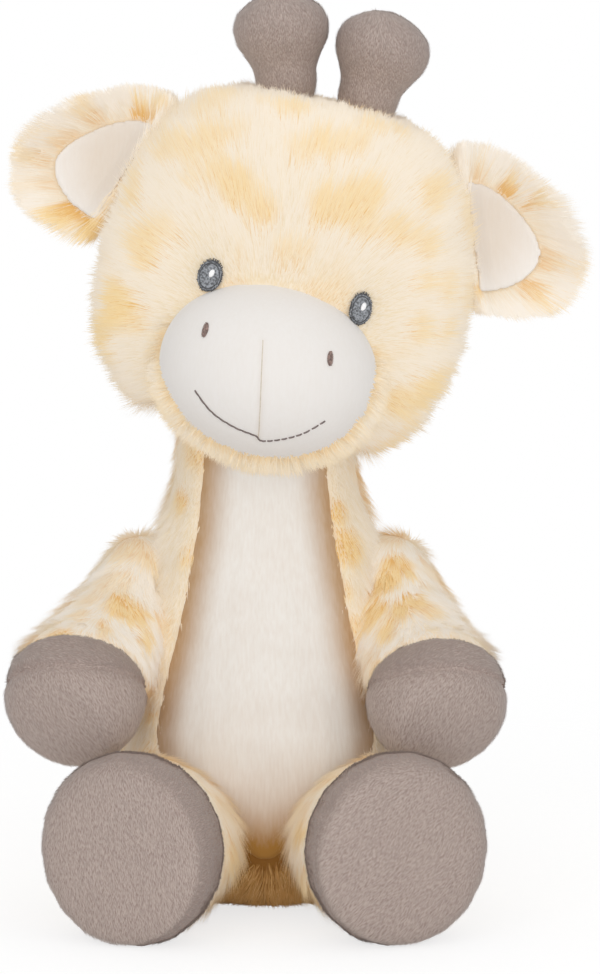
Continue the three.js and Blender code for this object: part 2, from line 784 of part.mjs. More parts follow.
// The hip seam runs along the torso's front at the leg's own splay, just clear of it
function hipPlace() {
  const splay = degrees(legSplay);
  const forward = at(Math.sin(splay), -Math.cos(splay), 0);
  const reach = reachOf(torsoForm(0, skinSides, 2), forward) + hipRadius + gap;
  const outward = at(Math.cos(splay), Math.sin(splay), 0);
  return along(forward, reach).addScaledVector(outward, hipAlong).setZ(hipHeight);
}

function makeLeg(parent, name, side) {
  const hip = hipPlace();
  const leg = new THREE.Group();
  leg.position.set(side * hip.x, hip.y, hip.z);
  leg.rotation.z = side * degrees(legSplay);
  parent.add(leg);
  const forward = at(0, -1, 0);
  const floorBelow = slab(at(0, 0, -hipHeight), at(0, 0, 1), -overrun, 0);
  const inside = solid(legForm(skinWall, limbFillSides, 1));
  const skin = solid(legForm(0, limbSides, 2)).subtract(inside).subtract(floorBelow);
  const band = legBandShare * legLength;
  const sole = legSoleShare * legLength;
  const far = legLength + overrun;
  const middle = at(0, 0, 0);
  const pieces = {
    leg_fur: ['fur', skin.intersect(slab(middle, forward, -far, band - gap))],
    leg_hoof: ['plush', skin.intersect(slab(middle, forward, band, sole - gap))],
    leg_sole: ['plush', skin.intersect(slab(middle, forward, sole, far))],
    leg_stuffing: ['stuffing', solid(legForm(skinWall + gap, limbFillSides, 1))],
  };
  for (const [piece, [material, body]] of Object.entries(pieces)) {
    add(leg, `${piece}_${name}`, material, side > 0 ? body : mirrored(body));
  }
}

// Tail

function makeTail(parent) {
  const tail = new THREE.Group();
  const flank = new THREE.Raycaster(at(0, 2 * torsoHalfDepth, tailHeight), at(0, -1, 0));
  const torso = new THREE.Mesh(torsoForm(0, skinSides, 2), materials.fur);
  const back = flank.intersectObject(torso)[0].point.y;
  tail.position.set(0, back + tailRootRadius + gap, tailHeight);
  parent.add(tail);
  const path = new THREE.QuadraticBezierCurve3(
    at(0, 0, 0),
    at(0, tailReach, 0),
    at(0, tailReach, -tailDrop),
  );
  const ring = (middle, direction, radius) => {
    const side = at(1, 0, 0);
    const up = direction.clone().cross(side);
    return ovalRing(middle, along(side, radius), along(up, radius), limbFillSides);
  };
  const rings = tailRootShares.map((share) => ring(
    at(0, -share * tailRootRadius, 0),
    path.getTangent(0),
    tailRootRadius * Math.sqrt(1 - share * share),
  ));
  for (let i = 0; i <= tailSteps; i++) {
    const share = i / tailSteps;
    const radius = THREE.MathUtils.lerp(tailRootRadius, tailTipRadius, share);
    rings.push(ring(path.getPoint(share), path.getTangent(share), radius));
  }
  add(tail, 'tail', 'fur', solid(loft(rings)));
  const down = path.getTangent(1);
  const tuftRings = smooth(tuftShares, 2).map(([run, width]) => ring(
    path.getPoint(1).addScaledVector(down, gap + run * tuftLength),
    down,
    width * tuftRadius,
  ));
  add(tail, 'tail_tuft', 'plush', solid(loft(tuftRings)));
}

const giraffe = new THREE.Group();
makeTorso(giraffe);
const neck = new THREE.Group();
neck.position.z = pivotHeight;
giraffe.add(neck);
makeNeck(neck);
makeHead(neck);
for (const [name, side] of [['left', 1], ['right', -1]]) {
  makeArm(giraffe, name, side);
  makeLeg(giraffe, name, side);
}
makeTail(giraffe);

export default giraffe;
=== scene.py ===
import json
import math
import random

import bmesh
import bpy
from bpy.props import FloatProperty, FloatVectorProperty, IntProperty, PointerProperty
from mathutils import Matrix, Vector, noise
from mathutils.bvhtree import BVHTree


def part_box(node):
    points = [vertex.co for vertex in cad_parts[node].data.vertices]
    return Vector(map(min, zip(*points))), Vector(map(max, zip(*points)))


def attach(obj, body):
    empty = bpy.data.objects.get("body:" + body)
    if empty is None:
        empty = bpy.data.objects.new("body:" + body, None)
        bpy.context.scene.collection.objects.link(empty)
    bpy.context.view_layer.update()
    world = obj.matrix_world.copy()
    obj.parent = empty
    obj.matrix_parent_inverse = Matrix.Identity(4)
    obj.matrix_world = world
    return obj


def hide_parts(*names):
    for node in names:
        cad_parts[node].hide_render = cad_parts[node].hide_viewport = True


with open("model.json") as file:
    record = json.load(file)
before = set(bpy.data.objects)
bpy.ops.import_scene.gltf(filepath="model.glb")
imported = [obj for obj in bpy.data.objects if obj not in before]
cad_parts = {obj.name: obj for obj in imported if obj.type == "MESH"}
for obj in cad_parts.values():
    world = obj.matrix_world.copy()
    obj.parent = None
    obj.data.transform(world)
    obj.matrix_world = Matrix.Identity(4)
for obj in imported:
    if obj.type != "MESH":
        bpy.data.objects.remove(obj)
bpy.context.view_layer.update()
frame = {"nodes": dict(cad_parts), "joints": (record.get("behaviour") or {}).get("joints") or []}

bl_info = {
    "name": "Plush giraffe",
    "version": (1, 0, 0),
    "blender": (4, 5, 0),
    "location": "View3D > Sidebar > Giraffe",
    "description": "Dresses the frame of a sitting plush giraffe in fur, velour and plush",
    "category": "Object",
}

MM = 0.001
SIDES = (("left", 1), ("right", -1))
BACK = Vector((0, 1, 0))
UP = Vector((0, 0, 1))


def linear(code):
    """A colour written as an sRGB hex value, in linear light."""
    parts = [int(code[i:i + 2], 16) / 255 for i in (1, 3, 5)]
    return [c / 12.92 if c <= 0.04045 else ((c + 0.055) / 1.055) ** 2.4 for c in parts]


def length_value(label, words, millimetres):
    return FloatProperty(
        name=label, description=words, default=millimetres * MM, min=0, unit="LENGTH", precision=4,
    )


def density_value(label, words, number):
    return FloatProperty(name=label, description=words, default=number, min=0.1)


def colour_value(label, words, code):
    return FloatVectorProperty(
        name=label, description=words, default=linear(code), size=3, min=0, max=1, subtype="COLOR",
    )


class GiraffeFur(bpy.types.PropertyGroup):
    head_length: length_value("Head fur", "Length of the fur on the head", 8)
    body_length: length_value("Body fur", "Length of the fur on the torso and limbs", 6.5)
    ear_length: length_value("Ear fur", "Length of the fur round the ears", 10)
    strand_width: length_value("Strand width", "Width of a drawn lock of fibres at its root", 0.32)
    density: density_value("Density", "Drawn locks to a square millimetre", 4.0)
    clump: length_value("Clump", "Distance between the middles of the tufts", 2.4)
    cream_tip: colour_value("Cream tips", "Ends of the pale fur", "#f6e9d6")
    cream_root: colour_value("Cream roots", "Roots of the pale fur", "#efdcba")
    patch_tip: colour_value("Patch tips", "Ends of the fur in the patches", "#f6d9a2")
    patch_root: colour_value("Patch roots", "Roots of the fur in the patches", "#e9b566")
    # The strongest colour, past the patches, also stands for painted shade in the crotch
    dye_and_shade_tip: colour_value("Strong dye tips", "Ends of the fur where the dye is strongest", "#b98a50")
    dye_and_shade_root: colour_value("Strong dye roots", "Roots of the fur where the dye is strongest", "#8a5f2c")


class GiraffeCloth(bpy.types.PropertyGroup):
    muzzle: colour_value("Muzzle velour", "Off-white velour of the muzzle", "#ede9e5")
    # Muzzle shade is painted shade along the muzzle's seam, the seam thread's colour, and a faint tint in the
    # velour's mottle
    muzzle_shade: colour_value("Muzzle shade", "Velour at the muzzle's seam", "#d6c8b6")
    ear: colour_value("Ear velour", "Off-white velour of the ears' linings", "#f6f2ee")
    # Ear shade is painted shade in the lining's hollow near the head, and a faint tint in the velour's mottle
    ear_shade: colour_value("Ear shade", "Velour deep in the ears", "#dac6ae")
    belly: colour_value("Belly velour", "Cream velour of the belly", "#f1ece5")
    # Belly shade is painted shade at the belly's sides, under the chin and low down, and a faint tint in the velour's
    # mottle
    belly_shade: colour_value("Belly shade", "Velour at the belly's edges", "#b0803f")
    plush_tip: colour_value("Plush tips", "Ends of the taupe pile", "#c0b0a7")
    plush_root: colour_value("Plush roots", "Roots of the taupe pile", "#94817a")
    pile_length: length_value("Plush pile", "Length of the taupe pile", 1.9)
    pile_width: length_value("Pile width", "Width of a drawn lock of the pile", 0.24)
    pile_density: density_value("Pile density", "Drawn locks of the pile to a square millimetre", 5.3)


class GiraffeThread(bpy.types.PropertyGroup):
    eye: colour_value("Eye thread", "Dark grey satin stitch of the eyes", "#4a4b4f")
    eye_fill: colour_value("Eye filling", "Lighter thread inside the eyes", "#a3a7ad")
    highlight: colour_value("Highlight", "White thread of the highlights", "#ffffff")
    nostril: colour_value("Nostril thread", "Brown thread of the nostrils", "#a88c82")
    mouth: colour_value("Mouth thread", "Grey-brown thread of the mouth", "#7a6a66")
    width: length_value("Mouth width", "Width of the mouth's stitched thread", 0.58)


class GiraffeLook(bpy.types.PropertyGroup):
    fur: PointerProperty(type=GiraffeFur)
    cloth: PointerProperty(type=GiraffeCloth)
    thread: PointerProperty(type=GiraffeThread)
    seed: IntProperty(name="Seed", description="Start of the fur's random numbers", default=7)


def look():
    return bpy.context.scene.giraffe_look


# What the frame gives: joints, the middles of its nodes, and the head's own axes as it leans

def joint_of(body):
    return next(joint for joint in frame["joints"] if joint["child"] == body)


def joint_place(body):
    return Vector(joint_of(body)["pos_m"])


def box_middle(node):
    low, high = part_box(node)
    return (low + high) / 2


HEAD_PIVOT = joint_place("head")
HEAD_ACROSS = Vector(joint_of("head")["axis"]).normalized()
HEAD_UP = HEAD_ACROSS.cross(BACK).normalized()
HEAD_AXES = (HEAD_ACROSS, BACK, HEAD_UP)


def head_place(across, back, up):
    """A point given by its places across, back and up the head, from its pivot."""
    return HEAD_PIVOT + HEAD_ACROSS * across + BACK * back + HEAD_UP * up


def in_head(point):
    """A point's places across, back and up the head, from its pivot."""
    rel = point - HEAD_PIVOT
    return Vector((rel.dot(HEAD_ACROSS), rel.y, rel.dot(HEAD_UP)))


# The face, in the head's own axes
MUZZLE_HALF = Vector((35, 29, 28.5)) * MM
MUZZLE_MIDDLE = Vector((0.5, -41, 3.5)) * MM
MUZZLE_SEAM = [
    Vector(place) * MM
    for place in ((-3.57, 15.2), (-2.55, 9.3), (-1.19, 1.7), (0.21, -6.2), (1.31, -12.9), (1.73, -16.4))
]
EYE_HALF = {"left": (3.4 * MM, 5.1 * MM), "right": (3.8 * MM, 5.1 * MM)}
EYE_HEIGHT = 29.2 * MM
EYE_ACROSS = {"left": 24.4 * MM, "right": -23.7 * MM}
EYE_TURN = {"left": math.radians(-3), "right": math.radians(4)}
NOSTRIL_HALF = (0.85 * MM, 2.25 * MM)
NOSTRIL_ACROSS = 19.9 * MM
NOSTRIL_SHIFT = -1.8 * MM
NOSTRIL_HEIGHT = 13.7 * MM
NOSTRIL_TURN = {"left": math.radians(-11), "right": math.radians(3)}
SMILE_SHARES = (
    (-0.61, -0.31), (-0.42, -0.5), (-0.2, -0.605), (0, -0.65), (0.07, -0.695), (0.24, -0.63), (0.42, -0.51),
    (0.59, -0.32),
)

SHARED = {}


def shared(make, *given):
    """A material or a blade that several pieces use, made once for the first of its given values."""
    key = (make, *given[:1])
    if key not in SHARED:
        SHARED[key] = make(*given)
    return SHARED[key]


# Materials: sizes of the patterns, and where a lock's map has its tints, from cream over the patches to the strongest
# colour, which also carries painted shade
TUFT_SIZE = 2.38 * MM
PLUSH_GRAIN = 1.111 * MM
MOTTLE_SIZE = 16.667 * MM
STREAK_SIZE = 0.909 * MM
STREAK_SHAPE = (1, 1, 0.16)
THREAD_GRAIN = 0.6667 * MM
CREAM_TINT, PATCH_TINT, DYE_AND_SHADE_TINT = 0.1, 0.7, 0.97
STRONGEST_DYE_AND_SHADE = 1.45
# Share of white in the painted light that lightens the fur's cream on limbs and ears
PAINTED_LIGHT_SHARE = 0.35
# How much of the plush's colour its darker copy keeps: painted shade on the hooves, a darker tone on the ossicones
DARK_PLUSH_SHARE = 0.62
MATH, VECTOR_MATH = "ShaderNodeMath", "ShaderNodeVectorMath"


def fill(tree, node, inputs):
    """Gives a node its inputs as values or as links."""
    for key, value in inputs.items():
        socket = node.inputs[key]
        if isinstance(value, bpy.types.NodeSocket):
            tree.links.new(value, socket)
        else:
            socket.default_value = (*value, 1) if socket.type == "RGBA" else value


def add(tree, kind, inputs=(), output=0, **settings):
    """Adds a node with its settings and its inputs, as a dict or in their order, and gives one of its outputs."""
    node = tree.nodes.new(kind)
    for name, value in settings.items():
        setattr(node, name, value)
    fill(tree, node, inputs if isinstance(inputs, dict) else dict(enumerate(inputs)))
    return node.outputs[output]


def new_material(name):
    material = bpy.data.materials.new(name)
    material.use_nodes = True
    return material, material.node_tree, material.node_tree.nodes["Principled BSDF"]


def lock_material(name, tips, roots, roughness, sheen):
    """Fibres that are deeper at the root; the piece's map holds the tint across and the way up the fibre."""
    material, tree, shader = new_material(name)
    place = add(tree, "ShaderNodeUVMap", uv_map="OFBake")
    split = add(tree, "ShaderNodeSeparateXYZ", (place,)).node.outputs
    patch = add(
        tree, "ShaderNodeMapRange", (split[0], CREAM_TINT, PATCH_TINT), interpolation_type="SMOOTHSTEP",
    )
    # Past the patches' colour the tint runs on to the strongest colour, which also carries painted shade in the
    # crotch
    dye_and_shade = add(tree, "ShaderNodeMapRange", (split[0], PATCH_TINT, DYE_AND_SHADE_TINT))
    rise = add(tree, "ShaderNodeMapRange", (split[1], 0.1, 0.7), interpolation_type="SMOOTHSTEP")
    ends = {0: rise}
    for socket, (cream, yellow, brown) in ((6, roots), (7, tips)):
        dyed_pale = add(tree, "ShaderNodeMix", {0: patch, 6: cream, 7: yellow}, 2, data_type="RGBA")
        ends[socket] = add(tree, "ShaderNodeMix", {0: dye_and_shade, 6: dyed_pale, 7: brown}, 2, data_type="RGBA")
    fill(tree, shader, {
        "Base Color": add(tree, "ShaderNodeMix", ends, 2, data_type="RGBA"), "Roughness": roughness,
        "Specular IOR Level": 0.2, "Sheen Weight": sheen, "Sheen Roughness": 0.5,
    })
    return material


def fur_lock_material(name, painted_light):
    """Long polyester fur, cream with yellow patches; on limbs and ears it has painted light, which takes its cream
    nearer white.
    """
    fur = look().fur
    tip, root = ([c + (1 - c) * painted_light for c in colour] for colour in (fur.cream_tip, fur.cream_root))
    return lock_material(
        name, (tip, fur.patch_tip, fur.dye_and_shade_tip), (root, fur.patch_root, fur.dye_and_shade_root), 0.75, 0.15,
    )


def plush_lock_material():
    """Short taupe plush, sheared so that its pile shows brushed streaks, with painted shade making it darker where it
    lies the other way.
    """
    cloth = look().cloth
    dark = [channel * DARK_PLUSH_SHARE for channel in cloth.plush_tip]
    return lock_material(
        "short_plush_pile", (cloth.plush_tip, dark, dark), [cloth.plush_root] * 3, 0.7, 0.25,
    )


def backing_finish(tree, shader, colour, height, depth):
    """Knitted backing is dull, with a grain as deep as its loops."""
    bump = add(tree, "ShaderNodeBump", {"Height": height, "Distance": depth, "Strength": 0.6})
    fill(tree, shader, {"Base Color": colour, "Normal": bump, "Roughness": 0.9, "Specular IOR Level": 0.1})


def fur_backing_material():
    """Knitted backing of the fur cloth, dyed with the patches: it only shows between the tufts."""
    fur = look().fur
    material, tree, shader = new_material("fur_backing")
    patch = add(tree, "ShaderNodeAttribute", output="Fac", attribute_name="patch")
    place = add(tree, "ShaderNodeTexCoord", output="Object")
    tufts = add(tree, "ShaderNodeTexNoise", {0: place, "Scale": 1 / TUFT_SIZE, "Detail": 3})
    ground = add(tree, "ShaderNodeMix", {0: patch, 6: fur.cream_root, 7: fur.patch_root}, 2, data_type="RGBA")
    pale = add(tree, "ShaderNodeMix", {0: tufts, 6: ground, 7: fur.cream_tip}, 2, data_type="RGBA")
    # Past the patches the backing goes to the strongest root colour, which in the crotch is painted shade
    dye_and_shade = add(tree, "ShaderNodeMapRange", (patch, 1.0, 1.4))
    colour = add(tree, "ShaderNodeMix", {0: dye_and_shade, 6: pale, 7: fur.dye_and_shade_root}, 2, data_type="RGBA")
    backing_finish(tree, shader, colour, tufts, 0.4 * MM)
    return material


def plush_backing_material():
    """Knitted backing of the plush, in the pile's own taupe."""
    cloth = look().cloth
    material, tree, shader = new_material("plush_backing")
    place = add(tree, "ShaderNodeTexCoord", output="Object")
    grain = add(tree, "ShaderNodeTexNoise", {0: place, "Scale": 1 / PLUSH_GRAIN, "Detail": 2})
    colour = add(
        tree, "ShaderNodeMix", {0: grain, 6: cloth.plush_root, 7: cloth.plush_tip}, 2, data_type="RGBA",
    )
    backing_finish(tree, shader, colour, grain, 0.3 * MM)
    return material


def velour_material(name, colour, shade, streaks=0.07):
    """Knitted velour: a very short upright pile with fine streaks down it, mottled where it was brushed."""
    material, tree, shader = new_material(name)
    place = add(tree, "ShaderNodeTexCoord", output="Object")
    mottle = add(tree, "ShaderNodeTexNoise", {0: place, "Scale": 1 / MOTTLE_SIZE, "Detail": 4})
    # Streaks about 1 mm across and six times as long, coarser than the fibres so that they show
    drawn = add(tree, VECTOR_MATH, (place, STREAK_SHAPE), operation="MULTIPLY")
    fibre = add(tree, "ShaderNodeTexNoise", {0: drawn, "Scale": 1 / STREAK_SIZE, "Detail": 3})
    brushed = add(tree, "ShaderNodeMapRange", (mottle, 0.4, 0.7, 0.0, 0.04))
    fine = add(tree, "ShaderNodeMapRange", (fibre, 0.3, 0.7, 0.0, streaks))
    # The piece's deep attribute paints shade into the velour: on the belly, in the ears' hollows and along the
    # muzzle's seam
    deep = add(tree, "ShaderNodeAttribute", output="Fac", attribute_name="deep")
    share = add(tree, MATH, (brushed, fine), operation="ADD")
    share = add(tree, MATH, (share, deep), operation="ADD", use_clamp=True)
    fill(tree, shader, {
        "Base Color": add(tree, "ShaderNodeMix", {0: share, 6: colour, 7: shade}, 2, data_type="RGBA"),
        "Normal": add(tree, "ShaderNodeBump", {"Height": fibre, "Distance": 0.12 * MM, "Strength": 0.4}),
        "Roughness": 0.85, "Specular IOR Level": 0.15, "Sheen Weight": 0.3, "Sheen Roughness": 0.4,
    })
    return material


def thread_material(name, colour, dark_share):
    """Polyester embroidery thread: fine parallel fibres with a low gloss."""
    material, tree, shader = new_material(name)
    place = add(tree, "ShaderNodeTexCoord", output="Object")
    fibres = add(tree, "ShaderNodeTexNoise", {0: place, "Scale": 1 / THREAD_GRAIN, "Detail": 2})
    light = add(tree, "ShaderNodeMapRange", (fibres, 0.35, 0.65))
    dark = [channel * dark_share for channel in colour]
    fill(tree, shader, {
        "Base Color": add(tree, "ShaderNodeMix", {0: light, 6: dark, 7: colour}, 2, data_type="RGBA"),
        "Roughness": 0.45, "Sheen Weight": 0.2,
    })
    return material


# Meshes

def new_object(name, mesh):
    thing = bpy.data.objects.new(name, mesh)
    bpy.context.scene.collection.objects.link(thing)
    return thing


def made(name, shape):
    """A new object of a finished bmesh, which it frees."""
    mesh = bpy.data.meshes.new(name)
    shape.to_mesh(mesh)
    shape.free()
    return new_object(name, mesh)


def evaluated_mesh(thing):
    """What an object's modifiers or its curve come to, as a mesh."""
    graph = bpy.context.evaluated_depsgraph_get()
    return bpy.data.meshes.new_from_object(thing.evaluated_get(graph))


def applied(thing):
    """Bakes an object's modifiers into its mesh."""
    mesh = evaluated_mesh(thing)
    thing.modifiers.clear()
    thing.data = mesh
    return thing


def paint(thing, material):
    thing.data.materials.clear()
    thing.data.materials.append(material)
    return thing


def shade_smooth(thing):
    thing.data.polygons.foreach_set("use_smooth", [True] * len(thing.data.polygons))
    return thing


def settle(piece, body, slot, *nodes):
    """Lets a piece ride on its body and hides the nodes that it stands for; its slot, for the finish, is not used."""
    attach(piece, body)
    if nodes:
        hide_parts(*nodes)


def dress(piece, material, body, slot, fullness, *nodes):
    """Gives a stuffed piece its cloth, its body and the nodes it stands for; its slot and how tight it is filled are
    not used.
    """
    paint(piece, material)
    settle(piece, body, slot, *nodes)


def shape_of(nodes):
    """Some CAD nodes in one bmesh."""
    shape = bmesh.new()
    for name in nodes:
        shape.from_mesh(frame["nodes"][name].data)
    return shape


def node_tree_of(*nodes):
    """A search tree over the surfaces of some CAD nodes."""
    shape = shape_of(nodes)
    tree = BVHTree.FromBMesh(shape)
    shape.free()
    return tree


def surface_of(thing):
    """A search tree over a piece."""
    verts = [vert.co.copy() for vert in thing.data.vertices]
    return BVHTree.FromPolygons(verts, [list(face.vertices) for face in thing.data.polygons])


def filled_skin(name, nodes, voxel, rounds, swell):
    """One rounded, closed skin over some CAD nodes that lie in and on each other, with its lengths in millimetres."""
    shape = shape_of(nodes)
    bmesh.ops.remove_doubles(shape, verts=shape.verts, dist=0.01 * MM)
    thing = made(name, shape)
    remesh = thing.modifiers.new("Remesh", "REMESH")
    remesh.mode = "VOXEL"
    remesh.voxel_size = voxel * MM
    even = thing.modifiers.new("Even", "SMOOTH")
    even.factor = 0.5
    even.iterations = rounds
    applied(thing)
    shape = bmesh.new()
    shape.from_mesh(thing.data)
    shape.normal_update()
    for vert in shape.verts:
        vert.co += vert.normal * swell * MM
    shape.to_mesh(thing.data)
    shape.free()
    return shade_smooth(thing)


def normals_of(thing):
    """A piece's vertex normals as they are before its vertices move."""
    return [vert.normal.copy() for vert in thing.data.vertices]


def pull_seam(thing, first, second, depth, width):
    """Draws the cloth in along the seam between two CAD nodes, and marks where it did."""
    trees = [node_tree_of(node) for node in (first, second)]
    marks = []
    for vert, normal in zip(thing.data.vertices, normals_of(thing)):
        near, far = (tree.find_nearest(vert.co)[3] for tree in trees)
        marks.append(math.exp(-((near - far) / width) ** 2))
        vert.co -= normal * depth * marks[-1]
    written(thing.data, "seam", "FLOAT", marks)


def split_skin(thing, groups):
    """Parts a skin into closed pieces by the CAD nodes that each face lies nearest to."""
    trees = [node_tree_of(*nodes) for nodes in groups.values()]
    nearest = []
    for face in thing.data.polygons:
        spans = [tree.find_nearest(face.center)[3] for tree in trees]
        nearest.append(spans.index(min(spans)))
    pieces = []
    for i, name in enumerate(groups):
        shape = bmesh.new()
        shape.from_mesh(thing.data)
        shape.faces.ensure_lookup_table()
        others = [face for face in shape.faces if nearest[face.index] != i]
        bmesh.ops.delete(shape, geom=others, context="FACES")
        bmesh.ops.holes_fill(shape, edges=[e for e in shape.edges if e.is_boundary], sides=0)
        bmesh.ops.triangulate(shape, faces=[f for f in shape.faces if len(f.verts) > 4])
        pieces.append(shade_smooth(made(name, shape)))
    bpy.data.objects.remove(thing)
    return pieces


# Grooming: which way the fur lies, how long it is, how thick it stands and how it is dyed, with painted shade in
# places
SPOT_EDGE_SHARE = 0.36
SPOT_WAVES = ((16 * MM, 3, 3.5 * MM), (5 * MM, 8, 1.2 * MM))
TOUSLE_WAVE = 14 * MM
LENGTH_WAVE = 9 * MM
DYE_SHIFT = 3.5 * MM


def wavy(point, scale, seed):
    """Smooth noise as a vector, with waves about as long as the scale."""
    return noise.noise_vector(point / scale + Vector((seed, seed * 1.7, -seed)))


def smooth_step(value, low, high):
    share = min(max((value - low) / (high - low), 0), 1)
    return share * share * (3 - 2 * share)


def smooth_mm(length, low, high):
    """A smooth step of a length, between two limits in millimetres."""
    return smooth_step(length / MM, low, high)


def dyed(point, spots):
    """How far the patches have dyed the fur at a point."""
    bent = point.copy()
    for wave, seed, height in SPOT_WAVES:
        bent += wavy(point, wave, seed) * height
    best = 0
    for middle, radius, depth in spots:
        share = (bent - middle).length / radius
        if share < 1 + SPOT_EDGE_SHARE:
            best = max(best, depth * (1 - smooth_step(share, 1 - SPOT_EDGE_SHARE, 1 + SPOT_EDGE_SHARE)))
    return best


def written(mesh, name, kind, values, key="value"):
    """Writes values on a mesh's vertices."""
    attribute = mesh.attributes.get(name) or mesh.attributes.new(name, kind, "POINT")
    attribute.data.foreach_set(key, values)


def everywhere(*place):
    return 1


def nowhere(*place):
    return 0


def groom(skin, lay, spots=(), cover=everywhere, reach=everywhere, tousle=0.3, lie=everywhere, deep=nowhere):
    """Writes on each vertex of a skin how its fur grows: its lay, its dyeing with the painted shade that some pieces
    add to it, cover, length and how flat it lies.
    """
    mesh = skin.data
    seams = mesh.attributes.get("seam")
    sewn = [mark.value for mark in seams.data] if seams else [0] * len(mesh.vertices)
    comb, patch, dense, tall, flat = [], [], [], [], []
    for vert, stitched in zip(mesh.vertices, sewn):
        point, normal = vert.co, vert.normal
        way = lay(point, normal) + wavy(point, TOUSLE_WAVE, 1) * tousle
        way -= normal * way.dot(normal)
        if way.length < 1e-6:
            way = normal.orthogonal()
        way.normalize()
        comb.extend(way)
        patch.append(min(dyed(point + way * DYE_SHIFT, spots) + deep(point), STRONGEST_DYE_AND_SHADE))
        dense.append(cover(point))
        tall.append(reach(point) * (1 - 0.6 * stitched) * (1 + 0.2 * noise.noise(point / LENGTH_WAVE)))
        flat.append(lie(point, normal))
    written(mesh, "comb", "FLOAT_VECTOR", comb, "vector")
    for name, values in (("patch", patch), ("cover", dense), ("tall", tall), ("lie", flat)):
        written(mesh, name, "FLOAT", values)


# The pile: locks of fibres, as meshes that one node group grows

def make_blade(rows):
    """A flat lock of fibres that ends in a point, one unit long and two wide."""
    shape = bmesh.new()
    bmesh.ops.create_grid(shape, x_segments=1, y_segments=rows, size=1)
    end = [vert for vert in shape.verts if vert.co.y > 0.999]
    bmesh.ops.pointmerge(shape, verts=end, merge_co=(0, 1, 0))
    blade = made("blade", shape)
    written(blade.data, "across", "FLOAT", [vert.co.x for vert in blade.data.vertices])
    written(blade.data, "along", "FLOAT", [(vert.co.y + 1) / 2 for vert in blade.data.vertices])
    blade.hide_render = True
    return blade


PILE_INPUTS = {"Skin": "Geometry", "Blade": "Object", "Seed": "Int", "Material": "Material"}
PILE_NUMBERS = (
    "Density", "Tufts", "Length", "Width", "Lean", "Droop", "Stray", "Wander", "Pull", "Tint", "Turn",
)
POINT_NUMBERS = ("shade", "patch", "cover", "tall", "lie", "along", "across")
POINT_VECTORS = ("root", "up", "inward", "stray", "wander", "comb")
# How a lock is shaped. Each line names a value, how it is worked out, and from what: numbers, what the group is
# given, what is stored on the points, and values of the lines before it.
LOCK_STEPS = (
    ("vary", MATH, "MULTIPLY", "shade", 0.22),
    ("vary", MATH, "ADD", "vary", 1.0),
    ("long", MATH, "MULTIPLY", "Length", "tall"),
    ("long", MATH, "MULTIPLY", "long", "vary"),
    ("lean", MATH, "MULTIPLY", "Lean", "lie"),
    ("upright", MATH, "SUBTRACT", 1.0, "lean"),
    ("way", VECTOR_MATH, "MULTIPLY", "up", "upright"),
    ("shift", VECTOR_MATH, "MULTIPLY", "comb", "lean"),
    ("way", VECTOR_MATH, "ADD", "way", "shift"),
    ("shift", VECTOR_MATH, "MULTIPLY", "stray", "Stray"),
    ("way", VECTOR_MATH, "ADD", "way", "shift"),
    ("shift", VECTOR_MATH, "MULTIPLY", "wander", "Wander"),
    ("way", VECTOR_MATH, "ADD", "way", "shift"),
    ("way", VECTOR_MATH, "NORMALIZE", "way"),
    ("reach", MATH, "MULTIPLY", "along", "long"),
    ("shift", VECTOR_MATH, "MULTIPLY", "way", "reach"),
    ("place", VECTOR_MATH, "ADD", "root", "shift"),
    ("bend", MATH, "MULTIPLY", "along", "along"),
    ("limp", MATH, "MULTIPLY", "long", "Droop"),
    ("bend", MATH, "MULTIPLY", "bend", "limp"),
    ("shift", VECTOR_MATH, "MULTIPLY", "comb", "bend"),
    ("place", VECTOR_MATH, "ADD", "place", "shift"),
    ("gather", MATH, "POWER", "along", 1.3),
    ("gather", MATH, "MULTIPLY", "gather", "Pull"),
    ("shift", VECTOR_MATH, "MULTIPLY", "inward", "gather"),
    ("place", VECTOR_MATH, "ADD", "place", "shift"),
    ("taper", MATH, "POWER", "along", 1.5),
    ("taper", MATH, "MULTIPLY", "taper", 0.75),
    ("taper", MATH, "SUBTRACT", 1.0, "taper"),
    ("half", MATH, "MULTIPLY", "Width", 0.5),
    ("spread", MATH, "MULTIPLY", "across", "taper"),
    ("spread", MATH, "MULTIPLY", "spread", "half"),
    ("edge", VECTOR_MATH, "CROSS_PRODUCT", "way", "up"),
    ("edge", VECTOR_MATH, "NORMALIZE", "edge"),
    ("shift", VECTOR_MATH, "MULTIPLY", "edge", "spread"),
    ("place", VECTOR_MATH, "ADD", "place", "shift"),
    ("facing", VECTOR_MATH, "MULTIPLY", "way", "Turn"),
    ("facing", VECTOR_MATH, "ADD", "up", "facing"),
    ("facing", VECTOR_MATH, "NORMALIZE", "facing"),
    ("tint", MATH, "MULTIPLY", "shade", "Tint"),
    ("tint", MATH, "ADD", "patch", "tint"),
    ("tint", MATH, "MULTIPLY", "tint", PATCH_TINT - CREAM_TINT),
    ("tint", MATH, "ADD", "tint", CREAM_TINT),
    ("fan", MATH, "MULTIPLY", "across", 0.004),
    ("tint", MATH, "ADD", "tint", "fan"),
    ("tint", MATH, "MAXIMUM", "tint", 0.01),
    ("tint", MATH, "MINIMUM", "tint", 0.99),
    ("rise", MATH, "MULTIPLY", "along", 0.94),
    ("rise", MATH, "ADD", "rise", 0.03),
)


